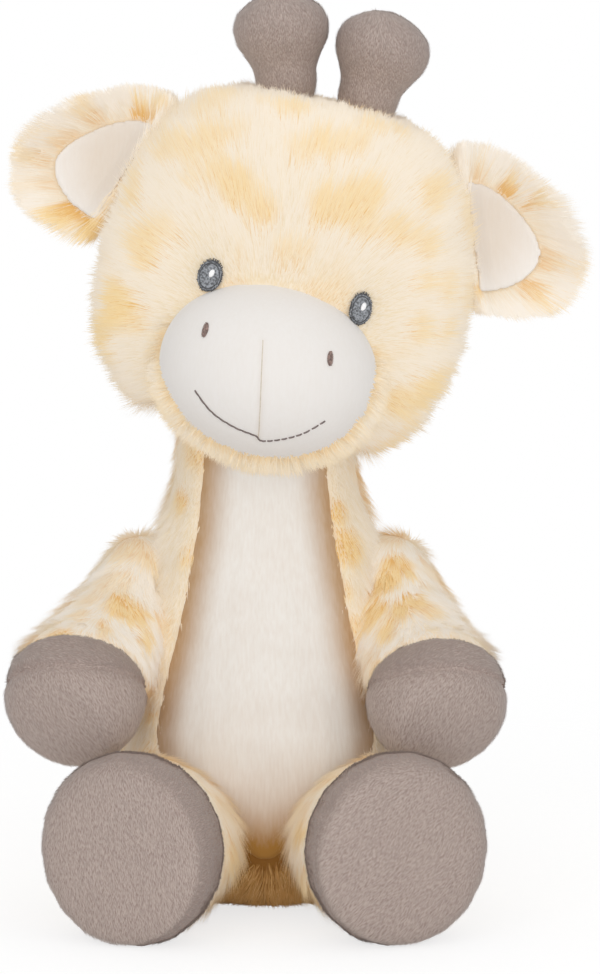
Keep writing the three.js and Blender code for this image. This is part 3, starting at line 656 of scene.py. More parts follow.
def pile_nodes():
    """Grows locks of fibres on a groomed skin: each leans with the lay, droops and gathers in a tuft."""
    tree = bpy.data.node_groups.new("pile", "GeometryNodeTree")
    for name, kind in {**PILE_INPUTS, **dict.fromkeys(PILE_NUMBERS, "Float")}.items():
        tree.interface.new_socket(name, in_out="INPUT", socket_type=f"NodeSocket{kind}")
    tree.interface.new_socket("Pile", in_out="OUTPUT", socket_type="NodeSocketGeometry")
    values = {socket.name: socket for socket in add(tree, "NodeGroupInput").node.outputs if socket.name}
    for kind, names in (("FLOAT", POINT_NUMBERS), ("FLOAT_VECTOR", POINT_VECTORS)):
        for name in names:
            values[name] = add(tree, "GeometryNodeInputNamedAttribute", {"Name": name}, data_type=kind)
    seed, skin = values["Seed"], values["Skin"]
    tuft_seed, stray_seed, wander_seed, shade_seed = (
        add(tree, MATH, (seed, shift), operation="ADD") for shift in (1, 2, 3, 5)
    )
    density = add(tree, MATH, (values["Density"], values["cover"]), operation="MULTIPLY")
    points, tufts = (
        add(
            tree, "GeometryNodeDistributePointsOnFaces", {"Mesh": skin, "Density": dense, "Seed": start},
            distribute_method="RANDOM",
        )
        for dense, start in ((density, seed), (values["Tufts"], tuft_seed))
    )
    position = add(tree, "GeometryNodeInputPosition")
    nearest = add(tree, "GeometryNodeSampleNearest", {"Geometry": tufts}, domain="POINT")
    middle = add(
        tree, "GeometryNodeSampleIndex", {"Geometry": tufts, "Value": position, "Index": nearest},
        data_type="FLOAT_VECTOR",
    )
    inward = add(tree, VECTOR_MATH, (middle, position), operation="SUBTRACT")
    spans = {"Min": (-1, -1, -1), "Max": (1, 1, 1)}
    stray, wander = (
        add(tree, "FunctionNodeRandomValue", {**spans, **chance}, data_type="FLOAT_VECTOR")
        for chance in ({"Seed": stray_seed}, {"Seed": wander_seed, "ID": nearest})
    )
    shade = add(
        tree, "FunctionNodeRandomValue", {2: -1.0, 3: 1.0, "Seed": shade_seed}, 1, data_type="FLOAT",
    )
    up = points.node.outputs[1]
    for name, value in (
        ("root", position), ("up", up), ("inward", inward), ("stray", stray), ("wander", wander), ("shade", shade),
    ):
        points = add(
            tree, "GeometryNodeStoreNamedAttribute", {"Geometry": points, "Name": name, "Value": value},
            data_type="FLOAT_VECTOR" if name in POINT_VECTORS else "FLOAT", domain="POINT",
        )
    blade = add(tree, "GeometryNodeObjectInfo", {"Object": values["Blade"]}, "Geometry")
    spread = add(tree, "GeometryNodeInstanceOnPoints", {"Points": points, "Instance": blade})
    locks = add(tree, "GeometryNodeRealizeInstances", {"Geometry": spread})
    for name, kind, operation, *terms in LOCK_STEPS:
        values[name] = add(tree, kind, [values.get(term, term) for term in terms], operation=operation)
    x, y, z = add(tree, "ShaderNodeSeparateXYZ", (values["place"],)).node.outputs
    above = add(tree, MATH, (z, 0.2 * MM), operation="MAXIMUM")
    place = add(tree, "ShaderNodeCombineXYZ", (x, y, above))
    moved = add(tree, "GeometryNodeSetPosition", {"Geometry": locks, "Position": place})
    lit = add(
        tree, "GeometryNodeSetMeshNormal", {"Mesh": moved, "Custom Normal": values["facing"]}, mode="FREE",
        domain="POINT",
    )
    spot = add(tree, "ShaderNodeCombineXYZ", (values["tint"], values["rise"]))
    mapped = add(
        tree, "GeometryNodeStoreNamedAttribute", {"Geometry": lit, "Name": "OFBake", "Value": spot},
        data_type="FLOAT2", domain="CORNER",
    )
    coloured = add(tree, "GeometryNodeSetMaterial", {"Geometry": mapped, "Material": values["Material"]})
    fill(tree, tree.nodes.new("NodeGroupOutput"), {0: coloured})
    return tree


def grow(name, skin, rows, material, density, tuft, length, width, manner):
    """Grows a pile on a groomed skin, as a mesh of its own."""
    tree = bpy.data.node_groups.get("pile") or pile_nodes()
    thin = 1
    pile = new_object(name, skin.data.copy())
    modifier = pile.modifiers.new("Pile", "NODES")
    modifier.node_group = tree
    keys = {item.name: item.identifier for item in tree.interface.items_tree if item.in_out == "INPUT"}
    given = {
        "Blade": shared(make_blade, rows),
        "Density": density * thin / MM ** 2,
        "Tufts": 1 / tuft ** 2,
        "Length": length,
        "Width": width / math.sqrt(thin),
        "Seed": look().seed + sum(name.encode()),
        "Material": material,
        **manner,
    }
    for label, value in given.items():
        modifier[keys[label]] = value
    applied(pile)
    for attribute in (*POINT_NUMBERS, *POINT_VECTORS, "seam", "deep"):
        found = pile.data.attributes.get(attribute)
        if found:
            pile.data.attributes.remove(found)
    return pile


# How each pile stands: how far it leans and droops, how its locks stray and gather, and how its tint varies
FUR_MANNER = {
    "Lean": 0.66, "Droop": 0.3, "Stray": 0.07, "Wander": 0.12, "Pull": 0.25, "Tint": 0.12, "Turn": 0.2,
}
PLUSH_MANNER = {
    "Lean": 0.78, "Droop": 0.3, "Stray": 0.08, "Wander": 0.08, "Pull": 0.16, "Tint": 0.6, "Turn": 0.6,
}
PLUSH_TUFT = 1.3 * MM


def fur_pile(name, skin, body, length, density=1.0, rows=3, pale=False, **changes):
    fur = look().fur
    # Limbs and ears take the fur with painted light, its cream nearer white
    kind = ("pale_long_pile_fur", PAINTED_LIGHT_SHARE) if pale else ("long_pile_fur", 0)
    pile = grow(
        name, skin, rows, shared(fur_lock_material, *kind), fur.density * density, fur.clump, length,
        fur.strand_width, {**FUR_MANNER, **changes},
    )
    # Light goes through real fur and comes out again, where these flat locks would only shade each other
    pile.visible_shadow = False
    pile.visible_diffuse = False
    settle(pile, body, "fur")


def plush_pile(name, skin, body):
    cloth = look().cloth
    pile = grow(
        name, skin, 2, shared(plush_lock_material), cloth.pile_density, PLUSH_TUFT, cloth.pile_length,
        cloth.pile_width, PLUSH_MANNER,
    )
    pile.visible_diffuse = False
    settle(pile, body, "plush")


# The camera stands where the photographer's did
PHOTO_SIZE = (600, 974)
CAMERA_LENS = 134
CAMERA_SENSOR = 36
CAMERA_DISTANCE = 1.2
CAMERA_RISE = math.radians(8)
CAMERA_TARGET = Vector((11.3, 0, 136.4)) * MM
CAMERA_PLACE = CAMERA_TARGET + CAMERA_DISTANCE * Vector((0, -math.cos(CAMERA_RISE), math.sin(CAMERA_RISE)))
PIXEL = CAMERA_SENSOR / PHOTO_SIZE[1]


def photo_ray(x, y):
    """The way from the camera through a pixel of the photograph."""
    width, height = PHOTO_SIZE
    forward = (CAMERA_TARGET - CAMERA_PLACE).normalized()
    right = Vector((1, 0, 0))
    across = right * (x - width / 2) * PIXEL
    above = right.cross(forward) * (height / 2 - y) * PIXEL
    return (forward * CAMERA_LENS + across + above).normalized()


def patches(skin, seen, spacing, seed, seen_dye, hidden_dye, wider=1):
    """Patches on a skin: those that the photograph shows, and others spread over the rest of it."""
    front = surface_of(skin)
    known = []
    for x, y, radius, depth in seen:
        hit = front.ray_cast(CAMERA_PLACE, photo_ray(x, y))[0]
        if hit:
            known.append((hit, radius * PIXEL * CAMERA_DISTANCE / CAMERA_LENS, depth * seen_dye))
    chance = random.Random(seed)
    verts = list(skin.data.vertices)
    hidden = []
    for _ in range(900):
        point = chance.choice(verts).co
        if all((point - middle).length > spacing + radius * 0.7 for middle, radius, _ in known):
            if all((point - middle).length > spacing * 1.7 for middle, _, _ in hidden):
                radius = spacing * chance.uniform(0.6, 0.85)
                hidden.append((point.copy(), radius, chance.uniform(0.55, 0.95) * hidden_dye))
    return [(middle, radius * wider, depth) for middle, radius, depth in known + hidden]


# Patches seen from the front, as across, down and radius in the photograph's pixels, and their depth
HEAD_SPOTS = (
    (177, 152, 20, 0.75), (207, 150, 22, 0.8), (232, 141, 14, 0.6), (293, 112, 16, 0.8), (268, 110, 12, 0.6),
    (302, 152, 14, 0.7), (325, 150, 15, 0.85), (350, 147, 12, 0.7), (366, 128, 15, 0.75), (396, 134, 14, 0.7),
    (200, 184, 12, 0.6), (222, 185, 15, 0.8), (244, 195, 18, 0.95), (262, 214, 14, 0.9), (330, 210, 22, 0.95),
    (355, 200, 20, 0.9), (345, 225, 16, 0.8), (143, 182, 13, 0.75), (141, 202, 14, 0.8), (155, 245, 20, 0.9),
    (170, 232, 14, 0.7), (140, 240, 12, 0.6), (237, 250, 9, 0.4), (284, 253, 11, 0.65), (303, 256, 11, 0.6),
    (362, 232, 13, 0.7), (392, 232, 16, 0.85), (418, 243, 15, 0.8), (425, 200, 17, 0.8), (436, 186, 14, 0.65),
    (416, 285, 12, 0.75), (438, 287, 13, 0.7), (414, 324, 13, 0.85), (436, 325, 12, 0.85), (125, 308, 22, 1.2),
    (112, 335, 18, 1.15), (140, 325, 14, 0.7), (118, 352, 14, 0.6), (117, 263, 10, 0.5), (420, 384, 22, 1.0),
    (402, 398, 18, 0.9), (436, 375, 14, 0.7), (380, 358, 13, 0.6), (367, 400, 14, 0.6), (160, 385, 14, 0.5),
    (152, 405, 16, 0.6), (186, 424, 16, 1.0), (165, 440, 16, 0.8), (205, 442, 16, 0.9), (226, 452, 14, 1.0),
    (375, 440, 18, 0.9), (350, 452, 18, 1.0), (395, 425, 16, 0.7), (400, 345, 10, 0.4),
)
TORSO_SPOTS = (
    (182, 505, 13, 0.95), (172, 470, 14, 0.5), (165, 520, 12, 0.6), (335, 518, 12, 0.9), (350, 470, 12, 0.5),
    (345, 552, 20, 1.0), (345, 600, 10, 0.6), (185, 560, 12, 0.6), (210, 590, 8, 0.6), (150, 720, 10, 0.8),
    # The last four below, low in the crotch, are partly patches and partly painted shade
    (150, 690, 10, 0.7), (265, 868, 14, 1.0), (240, 892, 14, 0.9), (290, 892, 14, 0.9), (265, 898, 14, 1.0),
)
ARM_SPOTS = {
    "left": (
        (362, 556, 18, 1.0), (398, 568, 18, 0.8), (378, 590, 16, 1.0), (358, 580, 14, 0.9), (375, 622, 18, 0.9),
        (408, 612, 16, 0.9), (435, 618, 12, 0.6), (362, 648, 10, 0.8), (420, 590, 10, 0.4), (392, 632, 12, 0.8),
    ),
    "right": (
        (130, 552, 22, 0.6), (172, 540, 16, 0.6), (112, 588, 20, 0.5), (172, 582, 16, 0.9), (150, 565, 14, 0.6),
        (125, 612, 20, 0.95), (160, 622, 14, 0.6), (186, 600, 12, 0.7), (92, 602, 14, 0.5), (140, 640, 12, 0.9),
        (62, 640, 12, 0.7), (100, 632, 10, 0.7), (160, 665, 12, 0.7), (85, 618, 12, 0.6),
    ),
}
ARM_DYE = {"left": 1.05, "right": 0.9}
LEG_SPOTS = {
    "left": ((298, 890, 12, 0.9), (302, 830, 11, 0.8), (305, 790, 10, 0.6), (320, 775, 10, 0.6)),
    "right": ((240, 866, 14, 1.0), (225, 905, 10, 0.8), (236, 826, 13, 0.9), (215, 770, 10, 0.4)),
}
EAR_SPOTS = {
    "left": (
        (450, 150, 14, 0.7), (475, 162, 9, 0.4), (515, 180, 12, 0.7), (537, 202, 10, 0.6), (480, 292, 13, 0.6),
        (540, 298, 12, 0.6), (500, 288, 10, 0.5),
    ),
    "right": (
        (50, 112, 14, 0.6), (90, 106, 12, 0.5), (140, 112, 16, 0.75), (162, 106, 12, 0.6), (70, 215, 14, 0.85),
        (95, 225, 14, 0.95), (30, 152, 12, 0.5),
    ),
}
# How far the ears' fur reaches below, above and at the end, as shares of its length
EAR_REACH = {"left": (0.45, 0.9, 1.4), "right": (0.6, 0.75, 1.15)}
# How far outward the soles sit on the hind hooves, and which way their pile is brushed
SOLE_SHIFT = {"left": 1.5 * MM, "right": 4 * MM}
SOLE_LAY = {"left": Vector((-0.7, -0.1, -0.7)), "right": Vector((0.15, -0.1, -1))}
# No fur grows under the seat, round the eyes, or in the hollows of head and torso that the neck's ball fills
SEAT_BARE = 1.2 * MM
EYE_BARE = 4.6 * MM
HEAD_HOLLOW = 34 * MM
TORSO_CUP = 31.5 * MM


def muzzle_share(point, spare=0):
    """How far out a point is on the muzzle's ball: 1 is on its surface, with a little to spare."""
    rel = in_head(point) - MUZZLE_MIDDLE
    return Vector([rel[i] / (MUZZLE_HALF[i] + spare) for i in range(3)]).length


def muzzle_ball(name, inset, segments):
    """The muzzle's smooth closed ball, drawn in a little all round."""
    shape = bmesh.new()
    bmesh.ops.create_uvsphere(shape, u_segments=segments, v_segments=segments // 2, radius=1)
    turn = Matrix(HEAD_AXES).transposed().to_4x4()
    half = MUZZLE_HALF - Vector((1, 1, 1)) * inset
    place = Matrix.Translation(head_place(*MUZZLE_MIDDLE)) @ turn @ Matrix.Diagonal((*half, 1))
    bmesh.ops.transform(shape, matrix=place, verts=shape.verts)
    return shade_smooth(made(name, shape))


def eye_distance(point):
    """How far a point on the head's front is from the nearer eye, seen from the front."""
    place = in_head(point)
    if place.y > 0:
        return math.inf
    return min(math.hypot(place.x - across, place.z - EYE_HEIGHT) for across in EYE_ACROSS.values())


class OBJECT_OT_giraffe_head(bpy.types.Operator):
    """Make the head's skin and fur"""
    bl_idname = "giraffe.head"
    bl_label = "Head"

    def execute(self, context):
        skin = filled_skin("head_skin", ("head_fur", "head_stuffing"), 2, 8, 0.6)
        crown = max(in_head(vert.co).z for vert in skin.data.vertices)

        def lay(point, normal):
            rel = in_head(point) - MUZZLE_MIDDLE
            way = HEAD_ACROSS * rel.x + BACK * rel.y * 0.6 + HEAD_UP * rel.z
            return way.normalized() - UP * 0.35 * smooth_mm(abs(rel.x), 12, 40)

        def cover(point):
            in_hollow = in_head(point).length < HEAD_HOLLOW and in_head(point).z < 20 * MM
            bare = muzzle_share(point, 0.2 * MM) < 1 or in_hollow or eye_distance(point) < EYE_BARE
            return 0 if bare else 1

        def reach(point):
            by_eye = 0.35 + 0.65 * smooth_mm(eye_distance(point), 4, 13)
            on_top = 1 - 0.45 * smooth_mm(in_head(point).z - crown, -14, -1)
            return (0.5 + 0.5 * smooth_step(muzzle_share(point), 1.0, 1.3)) * by_eye * on_top

        # Painted shade: low on the head beside the muzzle, under the chin, the fur takes more of the patches' colour
        def deep(point):
            low = smooth_mm(-in_head(point).z, -12, 12)
            return 0.3 * low * (1 - smooth_step(muzzle_share(point), 1.0, 1.25))

        spots = patches(skin, HEAD_SPOTS, 13 * MM, 11, 0.7, 0.6, wider=1.15)
        groom(skin, lay, spots, cover, reach, tousle=0.16, deep=deep)
        dress(skin, shared(fur_backing_material), "head", "fur", 0.8, "head_fur", "head_stuffing")
        for name, length, density, rows in (
            ("head_under_fur", 0.7, 0.27, 2),
            ("head_middle_fur", 0.88, 0.32, 2),
            ("head_outer_fur", 1.05, 0.25, 3),
        ):
            fur_pile(name, skin, "head", look().fur.head_length * length, density, rows)
        self.rim()
        return {"FINISHED"}

    def rim(self):
        """Fur that laps the muzzle's edge at its sides and hangs under it, grown from just inside its ball."""
        base = muzzle_ball("rim_base", 0.25 * MM, 80)

        def cover(point):
            rel = in_head(point) - MUZZLE_MIDDLE
            facing = Vector([rel[i] / MUZZLE_HALF[i] ** 2 for i in range(3)]).normalized()
            lap = 0.42 * smooth_step(0.6 * max(facing.x, 0) - facing.z, -0.1, 0.55)
            return 1 if -lap < facing.y < 0.6 and facing.z < 0.45 else 0

        def lay(point, normal):
            rel = in_head(point) - MUZZLE_MIDDLE
            return HEAD_ACROSS * rel.x / MUZZLE_HALF.x + Vector((0, 0.25, -0.6))

        def deep(point):
            return 0.3 + 0.25 * noise.noise(point / (11 * MM))

        groom(base, lay, cover=cover, tousle=0.45, lie=lambda point, normal: 0.5, deep=deep)
        length = look().fur.head_length * 0.7
        fur_pile("muzzle_rim_fur", base, "head", length, 1.25, 2, Wander=0.28, Stray=0.18)
        bpy.data.objects.remove(base)


def off_line(point, line):
    """How far a place is from a run of straight pieces."""
    best = math.inf
    for start, end in zip(line, line[1:]):
        share = (point - start).dot(end - start) / (end - start).length_squared
        best = min(best, (point - start.lerp(end, min(max(share, 0), 1))).length)
    return best


def on_front(tree, across, up, lift):
    """The point on the front of the head or muzzle at a place across and up it, lifted off a little."""
    hit, normal, _, _ = tree.ray_cast(head_place(across, -120 * MM, up), BACK)
    if hit is None:
        raise RuntimeError(f"no surface at {across / MM:.1f}, {up / MM:.1f}")
    return hit + normal * lift


def on_oval(tree, oval, x, z, lift):
    """A point of an oval on the front, at shares of its half-lengths across and up."""
    middle, half, turn = oval
    flat = Matrix.Rotation(-turn, 2) @ Vector((x * half[0], z * half[1]))
    return on_front(tree, middle[0] + flat.x, middle[1] + flat.y, lift)


def oval_patch(name, tree, oval, lift, crown, material, slot, node):
    """A low oval cushion of thread on the head's front."""
    shape = bmesh.new()
    bmesh.ops.create_circle(shape, cap_ends=True, cap_tris=True, segments=36, radius=1)
    bmesh.ops.subdivide_edges(shape, edges=[e for e in shape.edges if not e.is_boundary], cuts=5)
    for vert in shape.verts:
        rise = lift + crown * math.sqrt(max(1 - min(vert.co.length, 1) ** 4, 0))
        vert.co = on_oval(tree, oval, vert.co.x, vert.co.y, rise)
    bmesh.ops.recalc_face_normals(shape, faces=shape.faces)
    settle(paint(shade_smooth(made(name, shape)), material), "head", slot, node)


def threads(name, runs, radius, material, slot, *nodes):
    """Threads laid along some runs of points on the head, as closed tubes in one piece."""
    curve = bpy.data.curves.new(name, "CURVE")
    curve.dimensions = "3D"
    curve.bevel_depth = radius
    curve.bevel_resolution = 1
    curve.use_fill_caps = True
    for points in runs:
        spline = curve.splines.new("POLY")
        spline.points.add(len(points) - 1)
        for place, point in zip(spline.points, points):
            place.co = (*point, 1)
    holder = new_object(name, curve)
    mesh = evaluated_mesh(holder)
    bpy.data.objects.remove(holder)
    settle(paint(shade_smooth(new_object(name, mesh)), material), "head", slot, *nodes)


class OBJECT_OT_giraffe_muzzle(bpy.types.Operator):
    """Make the velour muzzle with its seam"""
    bl_idname = "giraffe.muzzle"
    bl_label = "Muzzle"

    def execute(self, context):
        cloth = look().cloth
        seam_depth, seam_width, steps = 0.35 * MM, 0.9 * MM, 8
        muzzle = muzzle_ball("muzzle", 0, 176)
        deep = []
        for vert, normal in zip(muzzle.data.vertices, normals_of(muzzle)):
            place = in_head(vert.co)
            off = off_line(place.xz, MUZZLE_SEAM) if place.y < MUZZLE_MIDDLE.y else math.inf
            sewn = (1 - 0.6 * smooth_mm(place.z, 2, 15)) * math.exp(-(off / seam_width) ** 2)
            vert.co -= normal * seam_depth * sewn
            # Painted shade: the velour is darker along the seam's groove
            deep.append(0.25 * sewn)
        written(muzzle.data, "deep", "FLOAT", deep)
        front = surface_of(muzzle)
        run = [
            on_front(front, *start.lerp(end, i / steps), -0.05 * MM)
            for start, end in zip(MUZZLE_SEAM, MUZZLE_SEAM[1:]) for i in range(steps)
        ]
        thread = thread_material("seam_thread", cloth.muzzle_shade, 0.85)
        threads("muzzle_seam_thread", [run], 0.17 * MM, thread, "muzzle_velour")
        velour = velour_material("muzzle_velour", cloth.muzzle, cloth.muzzle_shade)
        dress(muzzle, velour, "head", "muzzle_velour", 0.8, "muzzle_panel")
        return {"FINISHED"}


class OBJECT_OT_giraffe_face(bpy.types.Operator):
    """Make the stitched eyes, nostrils and mouth"""
    bl_idname = "giraffe.face"
    bl_label = "Face"

    def execute(self, context):
        thread = look().thread
        head = surface_of(bpy.data.objects["head_skin"])
        muzzle = surface_of(bpy.data.objects["muzzle"])
        for name, side in SIDES:
            self.eye(name, side, head, thread)
            self.nostril(name, side, muzzle, thread)
        self.smile(muzzle, thread)
        return {"FINISHED"}

    def eye(self, name, side, head, thread):
        """Satin filling under two dark rims, with short stitches that run out over the edge."""
        dark = shared(thread_material, "eye_outline_thread", thread.eye, 0.55)
        grey = shared(thread_material, "eye_filling_thread", thread.eye_fill, 0.2)
        white = shared(thread_material, "highlight_thread", thread.highlight, 0.9)
        chance = random.Random(71 + side)
        turn = EYE_TURN[name]
        oval = ((EYE_ACROSS[name], EYE_HEIGHT), EYE_HALF[name], turn)
        oval_patch(f"eye_{name}_cushion", head, oval, 0.8 * MM, 0.7 * MM, grey, "eye_thread", f"eye_{name}")
        satin = []
        for i in range(15):
            x = -0.84 + 0.12 * i
            top = math.sqrt(1 - x * x) * 0.93
            satin.append([
                on_oval(head, oval, x + 0.03 * math.sin(9 * z + i), z, (1.35 - 0.35 * z * z) * MM)
                for z in (-top, -top / 2, 0, top / 2, top)
            ])
        threads(f"eye_{name}_satin", satin, 0.24 * MM, grey, "eye_thread")

        def spoke(angle, share, lift):
            return on_oval(head, oval, share * math.cos(angle), share * math.sin(angle), lift * MM)

        rims = []
        for share, lift in ((0.95, 1.15), (0.8, 1.45)):
            rims.append([spoke(2 * math.pi * i / 36, share, lift) for i in range(37)])
        stitches = 46
        for i in range(stitches):
            angle = 2 * math.pi * (i + chance.uniform(-0.3, 0.3)) / stitches
            ends = (chance.uniform(0.66, 0.86), chance.uniform(0.97, 1.07) + 0.07 * max(math.sin(angle), 0))
            rims.append([spoke(angle, share, 1.75 - 0.75 * share) for share in (ends[0], 0.93, ends[1])])
        threads(f"eye_{name}_rim", rims, 0.17 * MM, dark, "eye_thread")
        glint = ((EYE_ACROSS[name] + 0.5 * MM, EYE_HEIGHT + MM), (0.75 * MM, 1.35 * MM), turn + 0.2)
        oval_patch(
            f"eye_{name}_glint", head, glint, 1.5 * MM, 0.5 * MM, white, "white_thread", f"eye_highlight_{name}",
        )

    def nostril(self, name, side, muzzle, thread):
        """A narrow satin oval of short stitches that lie across it."""
        brown = shared(thread_material, "nostril_thread", thread.nostril, 0.4)
        oval = ((side * NOSTRIL_ACROSS + NOSTRIL_SHIFT, NOSTRIL_HEIGHT), NOSTRIL_HALF, NOSTRIL_TURN[name])
        oval_patch(
            f"nostril_{name}_cushion", muzzle, oval, 0.05 * MM, 0.3 * MM, brown, "brown_thread", f"nostril_{name}",
        )
        rows = []
        for i in range(11):
            z = -0.9 + 0.18 * i
            wide = math.sqrt(1 - z * z) * 1.05
            rows.append([
                on_oval(muzzle, oval, x, z + 0.04 * x, (0.15 + 0.3 * (1 - abs(x))) * MM) for x in (-wide, 0, wide)
            ])
        threads(f"nostril_{name}_satin", rows, 0.19 * MM, brown, "brown_thread")

    def smile(self, muzzle, thread):
        """Back stitches along the mouth's curve, which part into dashes towards one end."""
        steps, stride = 12, 4
        points = [Vector((x * MUZZLE_HALF.x, z * MUZZLE_HALF.z)) for x, z in SMILE_SHARES]
        line = []
        for i, (start, end) in enumerate(zip(points, points[1:])):
            leaving = (end - points[max(i - 1, 0)]) / 2
            arriving = (points[min(i + 2, len(points) - 1)] - start) / 2
            for t in (k / steps for k in range(steps)):
                line.append(
                    start * (2 * t ** 3 - 3 * t ** 2 + 1) + leaving * (t ** 3 - 2 * t ** 2 + t)
                    + end * (3 * t ** 2 - 2 * t ** 3) + arriving * (t ** 3 - t ** 2)
                )
        line.append(points[-1])
        runs = []
        for i in range(0, len(line) - 1, stride):
            run = line[i:i + stride + (1 if i < len(line) * 0.55 else 0)]
            bow = [0.2 * MM * math.sin(math.pi * k / (len(run) - 1)) for k in range(len(run))]
            runs.append([
                on_front(muzzle, MUZZLE_MIDDLE.x + place.x, MUZZLE_MIDDLE.z + place.y, lift)
                for place, lift in zip(run, bow)
            ])
        brown = thread_material("mouth_thread", thread.mouth, 0.6)
        threads("mouth_thread", runs, thread.width / 2, brown, "brown_thread", "mouth_stitch")


class OBJECT_OT_giraffe_torso(bpy.types.Operator):
    """Make the torso's skin and fur, and the neck under the head"""
    bl_idname = "giraffe.torso"
    bl_label = "Torso"

    def execute(self, context):
        length = look().fur.body_length
        nodes = ("torso_fur", "torso_stuffing", "bead_pouch")
        skin = filled_skin("torso_skin", nodes, 2, 6, 0.5)
        panel = node_tree_of("belly_panel")
        shoulders = [joint_place(f"arm_{name}") + UP * 20 * MM for name, _ in SIDES]

        def off_panel(point):
            return panel.find_nearest(point)[3]

        def by_shoulder(point):
            return 1 - smooth_mm(min((point - place).length for place in shoulders), 6, 22)

        def lay(point, normal):
            outward = 1 if point.x > 0 else -1
            return Vector((outward * (0.2 + 1.4 * by_shoulder(point)), -0.15, -1))

        def cover(point):
            edge = 0.8 * MM if point.z > 24 * MM else 2.2 * MM
            in_cup = (point - HEAD_PIVOT).length < TORSO_CUP and point.z > HEAD_PIVOT.z - 12 * MM
            return 0 if off_panel(point) < edge or point.z < SEAT_BARE or in_cup else 1

        def reach(point):
            by_panel = 0.55 + 0.45 * smooth_mm(off_panel(point), 1, 7)
            by_neck = 1 - 0.35 * smooth_mm(point.z, 120, 140) + 0.6 * by_shoulder(point)
            return (0.4 + 0.6 * smooth_mm(point.z, 0, 14)) * by_panel * by_neck

        def deep(point):
            # Painted shade: beside the belly panel's seam the fur is a little yellower, and low in front, in the
            # crotch, it goes to the strongest colour
            crotch_shade = (1 - smooth_mm(point.z, 18, 36)) * (1 - smooth_mm(abs(point.x), 24, 36))
            return 0.12 * (1 - smooth_mm(off_panel(point), 1, 5)) + (1.4 * crotch_shade if point.y < 0 else 0)

        spots = patches(skin, TORSO_SPOTS, 13 * MM, 23, 0.85, 0.8)
        groom(skin, lay, spots, cover, reach, tousle=0.5, deep=deep)
        dress(skin, shared(fur_backing_material), "torso", "fur", 0.7, *nodes)
        fur_pile("torso_under_fur", skin, "torso", length * 0.72, 0.32, 2, Wander=0.2, Pull=0.35)
        fur_pile("torso_outer_fur", skin, "torso", length, 0.36, 2, Wander=0.2, Pull=0.35)
        neck = filled_skin("neck_skin", ("neck_stuffing",), 2, 4, 0.2)
        groom(
            neck, lay, cover=lambda point: 1 if point.z < HEAD_PIVOT.z + 4 * MM else 0, reach=lambda point: 0.5,
        )
        dress(neck, shared(fur_backing_material), "neck", "fur", 0.8, "neck_stuffing")
        fur_pile("neck_fur", neck, "neck", length, 0.2, 2)
        return {"FINISHED"}


class OBJECT_OT_giraffe_belly(bpy.types.Operator):
    """Make the velour belly panel"""
    bl_idname = "giraffe.belly"
    bl_label = "Belly"

    def execute(self, context):
        cloth = look().cloth
        crease_depth, crease_length, crease_height = 0.6 * MM, 30 * MM, 11 * MM
        belly = filled_skin("belly", ("belly_panel",), 1, 12, 0.45)
        fur = node_tree_of("torso_fur")
        deep = []
        for vert in belly.data.vertices:
            x, y, z = vert.co
            crease = noise.noise(Vector((x / crease_length, y / crease_length, z / crease_height)))
            vert.co.y -= crease_depth * (1 - smooth_mm(z, 138, 150)) * crease
            # Painted shade: darker at the sides by the fur, at the top under the chin, and most of all low down
            by_side = (1 - smooth_mm(fur.find_nearest(vert.co)[3], 0, 15)) * smooth_mm(z, 10, 70)
            low = 1 - smooth_mm(z, 10, 66)
            deep.append(min(0.78 * by_side + 0.25 * smooth_mm(z, 142, 160) + 0.32 * low + 0.8 * low ** 2, 1))
        written(belly.data, "deep", "FLOAT", deep)
        velour = velour_material("belly_velour", cloth.belly, cloth.belly_shade, 0.09)
        dress(belly, velour, "torso", "belly_velour", 0.6, "belly_panel")
        return {"FINISHED"}


def beyond(off_seam):
    """0 on the near side of a hoof's seam and 1 beyond it, from how far off it a point is."""
    return smooth_mm(off_seam, -0.8, 0.8)


def plush_hoof(body, hoof, lay, cover, off_seam, nodes):
    """A hoof's pile: darker beyond the sole's seam, and drawn in, short and dark along it; both darkenings are
    painted shade.
    """
    def sewn(point):
        return math.exp(-(off_seam(point) / (1.3 * MM)) ** 2)

    for vert, normal in zip(hoof.data.vertices, normals_of(hoof)):
        vert.co -= normal * 0.7 * MM * sewn(vert.co)

    # Painted shade: darker beyond the seam, where the pile lies the other way, and darker still along the seam
    def shade(point):
        return 0.8 * beyond(off_seam(point)) + 0.6 * sewn(point)

    groom(hoof, lay, cover=cover, reach=lambda point: 1 - 0.5 * sewn(point), tousle=0.25, deep=shade)
    dress(hoof, shared(plush_backing_material), body, "plush", 0.8, *nodes)
    plush_pile(f"{body}_hoof_pile", hoof, body)


